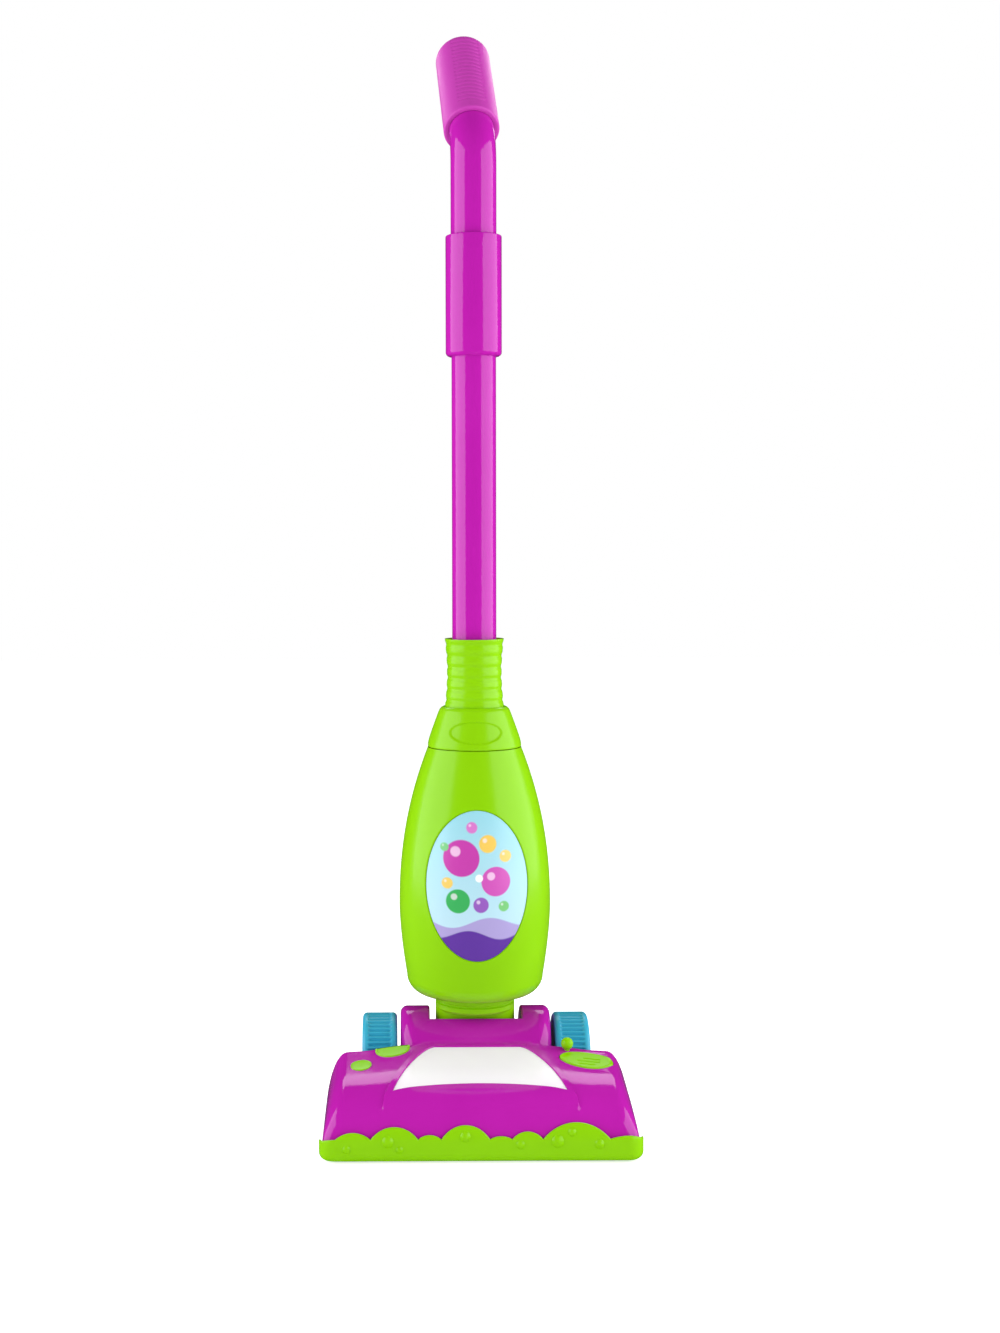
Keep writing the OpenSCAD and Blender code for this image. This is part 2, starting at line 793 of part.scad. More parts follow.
module battery_cells() color("gold") place() for (side = [-1, 1])
    translate([-side * (cell_l + cell_nub_l) / 2, box_y + side * cell_pitch / 2, cell_z])
        rotate([0, side * 90, 0]) {
            cylinder(d = cell_d, h = cell_l);
            cylinder(d = cell_nub_d, h = cell_l + cell_nub_l);
        }

// Four pressed contacts: a plate on the end wall of the box, with a nib towards the cell
module battery_contacts() color(steel) place() for (end = [-1, 1]) for (side = [-1, 1])
    translate([end * box_l / 2, box_y + side * cell_pitch / 2, cell_z]) rotate([0, -end * 90, 0]) {
        translate([-contact_w / 2, -contact_w / 2, 0]) cube([contact_w, contact_w, contact_t]);
        cylinder(d = cell_nub_d, h = contact_t + contact_nib - seat);
    }

module battery_door() color(green) place() difference() {
    union() {
        translate([-door_l / 2, box_y - door_w / 2, base_z]) cube([door_l, door_w, sole_t / 2 - seat]);
        translate([-box_l / 2 + seat, box_y - box_w / 2 + seat, base_z + sole_t / 4])
            cube([box_l - 2 * seat, box_w - 2 * seat, sole_t * 3 / 4]);
    }
    translate([door_screw_x, box_y, 0]) cylinder(d = screw_d + 2 * seat, h = far);
}

module battery_screw() color(steel) place() translate([door_screw_x, box_y, base_z - screw_head_t])
    screw(sole_t + screw_head_t);

module head_screws() color(steel) place() for (p = sole_screws) translate([p.x, p.y, base_z])
    screw(screw_l - seat);

module axle() color(steel) place() translate([-axle_half, 0, axle_z]) across()
    cylinder(d = axle_d, h = 2 * axle_half);

// A wheel with its inner face on the origin, spinning about Z
module wheel() {
    r = wheel_d / 2;
    e = tread_round;
    difference() {
        rotate_extrude($fn = 128) polygon(concat([[0, 0]], arc([r - e, e], e, -90, 0, 5),
            arc([r - e, wheel_w - e], e, 0, 90, 5), [[r - rim_w, wheel_w],
            [r - rim_w - rim_bevel, wheel_w - dish], [cap_r + cap_bevel, wheel_w - dish],
            [cap_r, wheel_w - cap_low], [0, wheel_w]]));
        for (i = [0 : tread_n - 1]) rotate(i * 360 / tread_n)
            translate([r + groove_r / 3, 0, e + groove_rim / 2])
                cylinder(r = groove_r, h = wheel_w - 2 * e - groove_rim);
        translate([0, 0, -cut]) cylinder(r = axle_d / 2 + pressed, h = axle_seat + cut + seat);
        translate([0, 0, -cut]) ring(r - hollow_in, hollow_hub, wheel_w / 2 + cut);
    }
}
module left_wheel() color(teal) place() translate([-yoke_w / 2 - wheel_gap, 0, axle_z])
    rotate([0, -90, 0]) wheel();
module right_wheel() color(teal) place() translate([yoke_w / 2 + wheel_gap, 0, axle_z]) across() wheel();

// Tongue on the axle with a hub, a grooved ring under the body and a flange inside it
module pivot_neck() color(green) place() difference() {
    union() {
        translate([0, 0, axle_z]) linear_extrude(neck_ring_z - axle_z + cut) neck_section(0);
        translate([-neck_w / 2, 0, axle_z]) across() cylinder(d = hub_d, h = neck_w);
        translate([0, 0, neck_ring_z]) neck_ring(neck_ring_h + body_wall + neck_flange_t / 2);
        translate([0, 0, body_z + body_wall + seat])
            cylinder(d = neck_ring_d + 2 * neck_flange_w, h = neck_flange_t);
    }
    translate([-neck_w, 0, axle_z]) across() cylinder(r = axle_d / 2 + running, h = 2 * neck_w);
    translate([0, 0, axle_z + hub_d / 2]) linear_extrude(far) neck_section(neck_wall);
}
// Ring under the body, with one groove round it
module neck_ring(h) {
    r = neck_ring_d / 2;
    z = neck_groove_z;
    rotate_extrude() polygon([[0, 0], [r - neck_bevel, 0], [r, neck_bevel], [r, z],
        [r - neck_groove, z + neck_groove_w], [r - neck_groove, z + 2 * neck_groove_w],
        [r, z + 3 * neck_groove_w], [r, h], [0, h]]);
}
// Section of the tongue, pulled in by a margin: a bar with round ends
module neck_section(t) {
    r = neck_d / 2 - t;
    for (side = [-1, 1]) translate([side * (neck_w / 2 - neck_d / 2), 0]) circle(r);
    translate([-(neck_w - neck_d) / 2, -r]) square([neck_w - neck_d, 2 * r]);
}

// One half of the body shell, in front of the middle plane or behind it
module body_half(front) {
    difference() {
        union() {
            difference() {
                rotate_extrude() polygon(body_outline(0));
                rotate_extrude() polygon(body_outline(body_wall));
                cylinder(d = neck_ring_d + 2 * seat, h = body_z + body_wall + cut);
                cylinder(r = spigot_r - body_wall, h = far);
            }
            intersection() {
                rotate_extrude() polygon(body_outline(body_wall / 2));
                for (z = body_screw_zs) for (side = [-1, 1]) translate([side * body_screw_x, 0, z])
                    rotate([front ? 90 : -90, 0, 0]) cylinder(d = post_d, h = far);
            }
            translate([0, 0, seam_z - spigot_h])
                ring(seam_d / 2 - body_wall / 2, spigot_r - body_wall, spigot_h);
            translate([0, 0, seam_z - spigot_h]) ring(spigot_r, spigot_r - body_wall, 2 * spigot_h);
        }
        for (z = body_screw_zs) for (side = [-1, 1]) translate([side * body_screw_x, 0, z])
            rotate([90, 0, 0])
                if (front) translate([0, 0, -cut]) cylinder(d = screw_d, h = screw_l + cut);
                else {
                    translate([0, 0, -far]) cylinder(d = screw_d + 2 * seat, h = far + cut);
                    translate([0, 0, -far - screw_seat]) cylinder(d = post_hole_d, h = far);
                }
        translate([-far / 2, front ? 0 : -far, 0]) cube(far);
    }
}
// Oval column through the front of the body
module label_block(t) translate([0, 0, label_z]) rotate([90, 0, 0])
    linear_extrude(far) polygon(oval(label_w + 2 * t, label_h + 2 * t));
module body_front() color(green) place() difference() {
    body_half(true);
    difference() {
        label_block(0);
        rotate_extrude() polygon(body_outline(label_depth));
    }
}
module body_back() color(green) place() body_half(false);
module body_screws() color(steel) place() for (z = body_screw_zs) for (side = [-1, 1])
    translate([side * body_screw_x, screw_seat + screw_head_t, z]) rotate([90, 0, 0])
        screw(screw_l + screw_seat);
module label() color("lightskyblue") place() intersection() {
    label_block(-seat);
    difference() {
        rotate_extrude() polygon(body_outline(label_depth - label_t));
        rotate_extrude() polygon(body_outline(label_depth));
    }
}

// Outline of the collar, pulled in by a margin, from the seam to the hole round the neck
function collar_outline(t) = let (foot = seam_d / 2 + collar_lip - t, r = collar_d / 2 - t) [
    [foot, seam_z + collar_gap], [foot, seam_z + collar_step],
    [r + collar_lip * 2, collar_top - collar_step], [r, collar_top - 2 * collar_fall],
    [r - collar_edge, collar_top - collar_fall - t / 4], [rim_d / 2, collar_top - t]];
module collar() color(green) place() difference() {
    rotate_extrude() polygon(concat([[0, seam_z + collar_gap]], collar_outline(0), [[0, collar_top]]));
    rotate_extrude() polygon(concat([[0, seam_z]], [[seam_d / 2 - collar_wall, seam_z]],
        collar_outline(collar_wall), [[0, collar_top - collar_wall]]));
    cylinder(d = rim_d + 2 * seat, h = far);
    difference() {
        translate([0, 0, badge_z]) rotate([90, 0, 0]) linear_extrude(far) polygon(oval(badge_w, badge_h));
        rotate_extrude() polygon(concat([[0, seam_z]], collar_outline(badge_depth), [[0, collar_top]]));
    }
}

// Ribbed neck: a sleeve whose outside waves from rib to rib and draws in at its middle
module ribbed_neck() color(green) place() {
    h = rim_z - collar_top;
    steps = rib_n * rib_steps;
    wave = [for (i = [0 : steps]) let (s = i / steps)
        [rim_d / 2 - rim_waist * sin(180 * s) - rib_depth / 2 * (1 - cos(360 * rib_n * s)),
            collar_top + h * s]];
    bore = tube_r + pressed;
    r = rim_d / 2;
    out = r + rim_flange_w;
    under = neck_flange_z - rim_flange_t;
    top = neck_flange_z - 3 * seat;
    rotate_extrude() polygon(concat([[bore, tube_foot], [r, tube_foot]],
        [[r, under], [out, under], [out, top], [r, top]], wave,
        [[tube_r + rim_mouth, rim_z], [bore, rim_z - 2 * rim_mouth]]));
}

module lower_tube() color(magenta) place() {
    r = socket_d / 2;
    e = socket_round;
    top = socket_z + socket_l;
    bore = upper_r + seat / 2;
    inner = tube_r - tube_wall;
    rotate_extrude() polygon(concat([[inner, tube_foot], [tube_r, tube_foot], [tube_r, socket_z]],
        arc([r - e, socket_z + e], e, -90, 0, 5), [[r, top - socket_bevel], [r - socket_bevel, top],
        [bore, top], [bore, socket_z + socket_floor], [inner, socket_z + socket_floor - socket_cone]]));
}

// Turns the upper handle in its socket
module turned() place() rotate(handle_turn) children();
// Carries a piece to the end of the bend, with the lean of the grip
module on_grip() translate([0, bend_end.x, bend_z + bend_end.y]) rotate([-grip_lean, 0, 0]) children();
// Straight length, bend and tail of the upper tube, as an outer and an inner skin along one path
module upper_tube() color(magenta) turned() {
    foot = socket_z + socket_floor + seat;
    bend = [for (i = [0 : bend_n]) let (a = grip_lean * i / bend_n)
        [bend_r * (1 - cos(a)), bend_z + bend_r * sin(a), a]];
    tail = [bend_end.x + tail_l * sin(grip_lean), bend_z + bend_end.y + tail_l * cos(grip_lean),
        grip_lean];
    path = concat([[0, foot, 0]], bend, [tail]);
    points = [for (r = [upper_r, upper_r - tube_wall]) for (s = path) for (j = [0 : tube_sides - 1])
        let (a = 360 * j / tube_sides)
        [r * cos(a), s[0] + r * sin(a) * cos(s[2]), s[1] - r * sin(a) * sin(s[2])]];
    rings = len(path);
    last = (rings - 1) * tube_sides;
    inner = rings * tube_sides;
    polyhedron(points, concat(skin(rings, tube_sides, 0), flip(skin(rings, tube_sides, inner)),
        flip(bridge(tube_sides, 0, inner)), bridge(tube_sides, last, inner + last)));
}

module grip() color([0.70, 0.12, 0.64]) turned() on_grip() difference() {
    rotate_extrude() polygon(concat([[0, 0], [grip_r - grip_bevel, 0], [grip_r, grip_bevel]],
        arc([grip_r - grip_round, grip_l - grip_round], grip_round, 0, 90, 6), [[0, grip_l]]));
    translate([0, 0, -cut]) cylinder(r = upper_r + seat / 2, h = tail_l + cut + seat);
    for (i = [0 : grip_ribs - 1])
        translate([-grip_rib_w / 2, -grip_r - cut, grip_rib_z + i * grip_rib_pitch])
            cube([grip_rib_w, cut + grip_rib_cut, grip_rib_t]);
}

head_shell();
bumper();
sole_plate();
window();
deck_spots();
deck_ball();
foot_button();
button_spring();
push_switch();
circuit_board();
leds();
speaker();
battery_cells();
battery_contacts();
battery_door();
battery_screw();
head_screws();
axle();
left_wheel();
right_wheel();
pivot_neck();
body_front();
body_back();
body_screws();
label();
collar();
ribbed_neck();
lower_tube();
upper_tube();
grip();
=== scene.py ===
"""Toy upright vacuum cleaner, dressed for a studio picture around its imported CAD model.

Lengths are in millimetres, with y counted from the wheel axle, until a mesh is made.
Lamps are placed in metres.
"""
import bpy
import numpy as np
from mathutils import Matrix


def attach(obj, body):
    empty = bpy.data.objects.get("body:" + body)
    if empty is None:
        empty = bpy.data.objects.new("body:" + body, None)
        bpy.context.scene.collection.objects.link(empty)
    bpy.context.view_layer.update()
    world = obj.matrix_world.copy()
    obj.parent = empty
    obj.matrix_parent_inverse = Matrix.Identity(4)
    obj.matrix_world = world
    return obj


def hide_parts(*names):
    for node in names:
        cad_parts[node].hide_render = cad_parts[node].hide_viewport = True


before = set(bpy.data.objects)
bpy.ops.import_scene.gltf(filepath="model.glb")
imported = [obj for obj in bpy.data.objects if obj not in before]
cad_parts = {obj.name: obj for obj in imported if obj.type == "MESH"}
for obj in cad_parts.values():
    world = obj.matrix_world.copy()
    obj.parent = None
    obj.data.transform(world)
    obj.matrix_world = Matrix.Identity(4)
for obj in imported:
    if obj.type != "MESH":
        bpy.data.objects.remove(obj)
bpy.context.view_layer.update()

# Picture: the toy stands upright and is seen straight on from slightly above, at about a metre.
# The lens is shifted sideways, so that level edges stay level though the toy is off the lens's axis.
scene = bpy.context.scene
scene.view_settings.view_transform = "Standard"
axle_y = 13.477
camera_out, camera_up, camera_side, pitch, roll = 1080.0, 336.0, -38.4, np.radians(4.0), np.radians(0.25)
focal_px, frame_h, axis_px = 1876.0, 1333.0, 92.8
lens = bpy.data.cameras.new("camera")
lens.sensor_width = 36.0
lens.lens = lens.sensor_width * focal_px / frame_h
lens.shift_x = axis_px / frame_h
camera = bpy.data.objects.new("camera", lens)
camera.location = (camera_side / 1000, (axle_y - camera_out) / 1000, camera_up / 1000)
camera.rotation_euler = (np.pi / 2 - pitch, roll, 0.0)
scene.collection.objects.link(camera)
scene.camera = camera


# Studio: a seamless white floor, a large softbox at each side and a narrow one high up behind.
# The world is white to the eye, grey as light and dark to gloss, so that the softboxes draw the highlights.
def mesh_object(name, points, faces, crease=35.0):
    """A mesh from an array of points in millimetres and an array of faces, smooth except across creases."""
    mesh = bpy.data.meshes.new(name)
    mesh.from_pydata((np.asarray(points, float) + [0, axle_y, 0]) / 1000, [], np.asarray(faces).tolist())
    mesh.polygons.foreach_set("use_smooth", np.ones(len(mesh.polygons), bool))
    mesh.set_sharp_from_angle(angle=np.radians(crease))
    mesh.update()
    made = bpy.data.objects.new(name, mesh)
    scene.collection.objects.link(made)
    return made


def ray_mix(tree, seen, lit, glossy):
    """A strength that is one number for the camera, one for gloss and glass, and one for all other light."""
    path = tree.nodes.new("ShaderNodeLightPath")
    sheen = tree.nodes.new("ShaderNodeMath")
    sheen.operation = "MAXIMUM"
    tree.links.new(path.outputs["Is Glossy Ray"], sheen.inputs[0])
    tree.links.new(path.outputs["Is Transmission Ray"], sheen.inputs[1])
    shown = tree.nodes.new("ShaderNodeMix")
    shown.inputs["A"].default_value, shown.inputs["B"].default_value = lit, glossy
    tree.links.new(sheen.outputs[0], shown.inputs["Factor"])
    final = tree.nodes.new("ShaderNodeMix")
    final.inputs["B"].default_value = seen
    tree.links.new(path.outputs["Is Camera Ray"], final.inputs["Factor"])
    tree.links.new(shown.outputs["Result"], final.inputs["A"])
    return final.outputs["Result"]


floor_half = 4000.0
floor = mesh_object("floor", [[-floor_half, -floor_half, 0], [floor_half, -floor_half, 0],
                              [floor_half, floor_half, 0], [-floor_half, floor_half, 0]], [[0, 1, 2, 3]])
white = bpy.data.materials.new("studio_floor")
white.use_nodes = True
nodes, links = white.node_tree.nodes, white.node_tree.links
paint = nodes["Principled BSDF"]
links.new(ray_mix(white.node_tree, seen=0.9, lit=0.85, glossy=0.02), paint.inputs["Base Color"])
paint.inputs["Roughness"].default_value = 0.9
paint.inputs["Emission Color"].default_value = (1, 1, 1, 1)
links.new(ray_mix(white.node_tree, seen=0.67, lit=0.16, glossy=0.0), paint.inputs["Emission Strength"])
floor.data.materials.append(white)

world = bpy.data.worlds.new("studio")
scene.world = world
world.use_nodes = True
world.cycles.sampling_method = "NONE"
sky = world.node_tree.nodes["Background"]
sky.inputs["Color"].default_value = (1, 1, 1, 1)
shown = ray_mix(world.node_tree, seen=1.0, lit=0.48, glossy=0.02)
world.node_tree.links.new(shown, sky.inputs["Strength"])

for name, place, turn, size, power in (
        ("softbox_left", (-1.08, -0.19, 0.5), (90, 0, -80), (1.4, 1.4), 17.0),
        ("softbox_right", (1.05, -0.28, 0.5), (90, 0, 75), (1.7, 1.4), 20.0),
        ("softbox_back", (0.0, 1.0, 1.07), (-75, 0, 0), (1.2, 0.38), 4.0)):
    lamp = bpy.data.lights.new(name, "AREA")
    lamp.shape = "RECTANGLE"
    lamp.size, lamp.size_y = size
    lamp.energy = power
    box = bpy.data.objects.new(name, lamp)
    box.location = place
    box.rotation_euler = np.radians(turn)
    scene.collection.objects.link(box)


# Head shell: one glossy moulding of magenta plastic, a loaf with a sloping deck and a round nose.
# A hole in the deck takes the window, an oval one the foot button, and a barrel behind carries the axle.
# Four screws hold the sole to it from below.
def srgb(*channels):
    """Display colour from 0 to 255, turned to linear light: the usual power curve with a straight toe."""
    c = np.array(channels, float) / 255
    return (*np.where(c <= 0.04045, c / 12.92, ((c + 0.055) / 1.055) ** 2.4), 1.0)


def moulded_plastic(name, deep, fair, roughness, grain=0.02, peel=900.0):
    """Injection moulded plastic: two tones of pigment in broad swirls, uneven gloss, a fine orange peel."""
    made = bpy.data.materials.new(name)
    made.use_nodes = True
    nodes, links = made.node_tree.nodes, made.node_tree.links
    surface = nodes["Principled BSDF"]
    surface.inputs["IOR"].default_value = 1.4
    where = nodes.new("ShaderNodeTexCoord")
    swirl = nodes.new("ShaderNodeTexNoise")
    swirl.inputs["Scale"].default_value = 14.0
    swirl.inputs["Detail"].default_value = 3.0
    swirl.inputs["Distortion"].default_value = 0.8
    tone = nodes.new("ShaderNodeMix")
    tone.data_type = "RGBA"
    tone.inputs["A"].default_value, tone.inputs["B"].default_value = deep, fair
    gloss = nodes.new("ShaderNodeMapRange")
    gloss.inputs["To Min"].default_value = 0.8 * roughness
    gloss.inputs["To Max"].default_value = 1.25 * roughness
    fine = nodes.new("ShaderNodeTexNoise")
    fine.inputs["Scale"].default_value = peel
    fine.inputs["Detail"].default_value = 2.0
    bump = nodes.new("ShaderNodeBump")
    bump.inputs["Strength"].default_value = grain
    bump.inputs["Distance"].default_value = 0.001
    links.new(where.outputs["Object"], swirl.inputs["Vector"])
    links.new(where.outputs["Object"], fine.inputs["Vector"])
    links.new(swirl.outputs["Fac"], tone.inputs["Factor"])
    links.new(swirl.outputs["Fac"], gloss.inputs["Value"])
    links.new(fine.outputs["Fac"], bump.inputs["Height"])
    links.new(tone.outputs["Result"], surface.inputs["Base Color"])
    links.new(gloss.outputs["Result"], surface.inputs["Roughness"])
    links.new(bump.outputs["Normal"], surface.inputs["Normal"])
    return made


def quads(rows, columns, round_trip=False):
    """Faces of a grid of points that runs row by row; a round trip joins the last column to the first."""
    i, j = np.meshgrid(np.arange(rows - 1), np.arange(columns if round_trip else columns - 1), indexing="ij")
    k = (j + 1) % columns
    return np.stack([i * columns + j, i * columns + k, (i + 1) * columns + k, (i + 1) * columns + j],
                    -1).reshape(-1, 4)


def join(parts):
    """One array of points and one list of faces from several pairs, with the faces counted on."""
    counts = np.cumsum([0] + [len(p) for p, _ in parts[:-1]])
    faces = [f for (_, fs), n in zip(parts, counts) for f in (np.asarray(fs) + n).tolist()]
    return np.concatenate([p for p, _ in parts]), faces


def smooth(s):
    """A soft step for a share from 0 to 1, level at both ends: three times its square less twice its cube."""
    return s * s * (3 - 2 * s)


magenta = moulded_plastic("magenta_gloss", srgb(178, 24, 162), srgb(190, 34, 174), 0.06)
shell_hw, shell_front, deck_y, deck_back_z, base_z = 85.75, -96.25, -30.5, 44.5, 3.0
nose_r, shoulder_w, shoulder_z, corner_r, back_r = 27.0, 12.5, 8.0, 7.0, 9.0
nose_y, nose_z = shell_front + nose_r, 9.5
rise = np.array([deck_y - nose_y, deck_back_z - nose_z])
slope = np.arccos(nose_r / np.hypot(*rise)) - np.arctan2(*rise)
tangent_y = nose_y - nose_r * np.sin(slope)
dip_y, dip_l, meet = -58.0, 16.0, np.radians(20.0)
meet_y, meet_z = nose_y - nose_r * np.sin(meet), nose_z + nose_r * np.cos(meet)
crown_from, crown_w, crown_drop = 36.0, 36.0, 3.4
window_y, window_l, window_back, window_front, window_spread = deck_y - 2.0, 46.0, 24.5, 48.0, 0.64
window_bow, bow_before, bow_behind = 4.5, 9.0, 16.0


def deck_fall(y):
    """Drop of the deck below its straight run: none behind the dip, a parabola in it and a line beyond."""
    into = np.maximum(dip_y - y, 0)
    return (np.tan(meet) - np.tan(slope)) * np.where(into < dip_l, into ** 2 / (2 * dip_l), into - dip_l / 2)


def deck_top(y):
    """Height of the loaf's crest: a deck that bends down until it touches a quarter round nose."""
    line = meet_z + np.tan(slope) * (y - meet_y) + deck_fall(meet_y) - deck_fall(y)
    nose = nose_z + np.sqrt(np.maximum(nose_r ** 2 - (y - nose_y) ** 2, 0))
    return np.where(y < meet_y, nose, line)


def half_width(y):
    """Half width of the loaf: straight sides that turn in round two quarter circles at the front corners."""
    turn = np.maximum(0, corner_r - (y - shell_front))
    return shell_hw - corner_r + np.sqrt(np.maximum(0, corner_r ** 2 - turn ** 2))


def crown(x):
    """Fall of the deck from its middle to its sides: a soft step that levels off at the shoulders."""
    return crown_drop * smooth(np.clip((np.abs(x) - crown_from) / crown_w, 0, 1))


def loaf_z(x, y):
    """Height of the loaf over a place in plan: the crowned crest, and quarter ovals down both shoulders."""
    over = np.clip((np.abs(x) - half_width(y) + shoulder_w) / shoulder_w, 0, 1)
    return shoulder_z + (deck_top(y) - crown(x) - shoulder_z) * np.sqrt(1 - over ** 2)


def window_edge(y):
    """Half width of the window: a power curve of the way from its rear edge to its front, level beyond."""
    s = np.clip((window_y - y) / window_l, 0, 1)
    return window_back + (window_front - window_back) * s ** window_spread


# Rows run from the nose to the deck's rear edge, and columns from the right foot over the top to the left.
front_turn = np.arccos((nose_y - window_y + window_l) / nose_r)
nose_turn = np.concatenate([np.linspace(0, front_turn, 22),
                            np.linspace(front_turn, np.pi / 2 - slope, 4)[1:]])
back_turn = deck_y - back_r * (1 - np.sin(np.linspace(0, np.pi / 2, 10)))
rows_y = np.concatenate([nose_y - nose_r * np.cos(nose_turn), np.linspace(tangent_y, back_turn[0], 18)[1:-1],
                         np.sort(np.append(back_turn, window_y))])
rows_top = deck_top(rows_y)
arch = np.linspace(0, np.pi / 2, 18)
width = half_width(rows_y)[:, None]
right_x = np.concatenate([np.repeat(width, 2, 1), width - shoulder_w * (1 - np.cos(arch))], 1)
right_z = np.concatenate([np.full_like(width, base_z), np.full_like(width, (base_z + shoulder_z) / 2),
                          shoulder_z + (rows_top[:, None] - shoulder_z) * np.sin(arch)], 1)
# A low step runs beside the window and flares out in front of it; the deck between is raised by its height.
edge = window_edge(rows_y)[:, None]
step_in, step_w, step_up, step_keep, step_flare, flare_l = 3.6, 0.3, 1.0, 1.5, 2.2, 14.0
line = np.minimum(edge + step_in, width - shoulder_w - step_keep)
line += step_flare * np.clip((window_y - window_l - rows_y[:, None]) / flare_l, 0, 1)
part = np.linspace(0, 1, 5)
flat_x = np.concatenate([width - shoulder_w + (line + step_w - width + shoulder_w) * part[1:],
                         line - step_w + (edge - line + step_w) * part], 1)
across = edge * np.linspace(1, -1, 29)[None, 1:-1]
half_x = np.concatenate([right_x, flat_x], 1)
half_z = np.concatenate([right_z, np.repeat(rows_top[:, None], flat_x.shape[1], 1)], 1)
raised = np.zeros(half_x.shape[1])
raised[-len(part):] = step_up
cut_x = shell_hw - back_r + np.sqrt(back_r ** 2 - np.clip(back_r - (deck_y - rows_y), 0, back_r) ** 2)
half_x = np.minimum(half_x, cut_x[:, None])
shell_x = np.concatenate([half_x, across, -half_x[:, ::-1]], 1)
shell_z = np.concatenate([half_z, np.repeat(rows_top[:, None], across.shape[1], 1), half_z[:, ::-1]], 1)
shell_y = np.repeat(rows_y[:, None], shell_x.shape[1], 1)
# The rows near the window's front edge bow back in the middle, and then all settle on the crowned deck.
bow_reach = np.where(shell_y < window_y - window_l, bow_before, bow_behind)
bowed = smooth(np.clip(1 - np.abs(shell_y - window_y + window_l) / bow_reach, 0, 1))
shell_y += window_bow * np.maximum(0, 1 - (shell_x / window_front) ** 2) * bowed
level = np.abs(shell_x) < shell_hw - shoulder_w - 0.01
shell_z = np.where(level, deck_top(shell_y), shell_z)
shell_z -= crown(shell_x) * np.clip((shell_z - shoulder_z) / (deck_top(shell_y) - shoulder_z), 0, 1)
tilt = np.maximum(slope, np.arctan2(nose_y - shell_y, shell_z - nose_z))
step_foot, step_fade = 25.0, 5.0
lift = np.concatenate([raised, np.full(across.shape[1], step_up), raised[::-1]])
lift = lift * smooth(np.clip((shell_z - step_foot) / step_fade, 0, 1))
grid = np.stack([shell_x, shell_y - lift * np.sin(tilt), shell_z + lift * np.cos(tilt)], -1)
# Two blocks of cells are left out: one for the window, one for rings that lead in to the foot button's hole.
n_rows, n_columns = shell_x.shape
faces = quads(n_rows, n_columns).reshape(n_rows - 1, n_columns - 1, 4)
keep = np.ones(faces.shape[:2], bool)
first, last = half_x.shape[1] - 1, half_x.shape[1] + across.shape[1]
front_row = np.argmin(np.abs(rows_y - window_y + window_l))
rear_row = np.argmin(np.abs(rows_y - window_y))
keep[front_row:rear_row, first:last] = False
button_x, button_y, button_w, button_d, button_gap = 61.0, -43.9, 30.0, 18.0, 0.4
patch_front, patch_side, patch_row = -57.0, 80.0, rear_row - 8
patch_rows = (np.argmin(np.abs(rows_y - patch_front)), rear_row)
patch_columns = (np.argmin(np.abs(shell_x[patch_row] - patch_side)), half_x.shape[1] - len(part) - 1)
keep[patch_rows[0]:patch_rows[1], patch_columns[0]:patch_columns[1]] = False


def block_loop(r0, r1, c0, c1):
    """Points round a block of the shell's grid, in order."""
    return np.concatenate([grid[r0, c0:c1], grid[r0:r1, c1], grid[r1, c1:c0:-1], grid[r1:r0:-1, c0]])


def hole_wall(loop, inward, drops):
    """Rings that lead from a hole's edge over a small round down into the shell, as a grid of points."""
    return np.concatenate([loop] + [loop + inward * s + [0, 0, -d] for s, d in drops])


window_drops, button_drops = [(0.12, 0.05), (0.3, 0.3), (0.34, 2.2)], [(0.05, 0.2), (0.1, 6.0)]
window_loop = block_loop(front_row, rear_row, first, last)
inward = np.array([0, window_y - window_l / 2, 0]) - window_loop
inward[:, 2] = 0
inward /= np.linalg.norm(inward, axis=1)[:, None]
lip = hole_wall(window_loop, inward, window_drops)
outer = block_loop(*patch_rows, *patch_columns)
angle = np.arctan2((outer[:, 1] - button_y) / button_d, (outer[:, 0] - button_x) / button_w)
oval = np.stack([button_x + (button_w / 2 + button_gap) * np.cos(angle),
                 button_y + (button_d / 2 + button_gap) * np.sin(angle)], -1)
share = np.linspace(0, 1, 7)[:, None, None]
plan = outer[None, :, :2] * (1 - share) + oval[None] * share
patch = np.concatenate([plan, loaf_z(plan[..., 0], plan[..., 1])[..., None]], -1)
patch[0] = outer
well_in = np.stack([-np.cos(angle), -np.sin(angle), 0 * angle], -1)
well = hole_wall(patch[-1], well_in, button_drops)
rear = np.concatenate([grid[-1], grid[-1] * [1, 1, 0] + [0, 0, base_z]])

# The barrel: two ears beside the slot, rounder in front, a bridge before it, and a cove down to the deck.
axle_z, yoke_r, yoke_hw, slot_hw, slot_y, yoke_round = 28.5, 32.5, 43.5, 26.5, -13.0, 4.0
slot_round, hub_r, front_round, rim_r, ear_lap, ear_n = 1.2, 8.0, 7.0, 1.5, 2.0, 96
quarter = np.linspace(0, np.pi / 2, 9)
spin = np.linspace(0, 2 * np.pi, ear_n, endpoint=False)
end_round = yoke_round + front_round * np.clip(-np.cos(spin), 0, 1)
ear_r = np.concatenate([
    np.full((1, ear_n), hub_r),
    np.repeat(yoke_r - slot_round + slot_round * np.sin(quarter)[:, None], ear_n, 1),
    yoke_r - end_round + end_round * np.cos(quarter)[:, None], np.full((1, ear_n), hub_r)])
ear_x = np.concatenate([
    np.full((1, ear_n), slot_hw),
    np.repeat(slot_hw + slot_round - slot_round * np.cos(quarter)[:, None], ear_n, 1),
    yoke_hw - end_round + end_round * np.sin(quarter)[:, None], np.full((1, ear_n), yoke_hw)])
ear_z = np.maximum(axle_z + ear_r * np.sin(spin), base_z)
ear = np.stack([ear_x, ear_r * np.cos(spin), ear_z], -1).reshape(-1, 3)
lean = np.linspace(np.arcsin((rim_r - slot_y) / yoke_r), np.arccos((base_z - axle_z) / yoke_r), 40)
rim = np.linspace(0, np.pi / 2, 7)
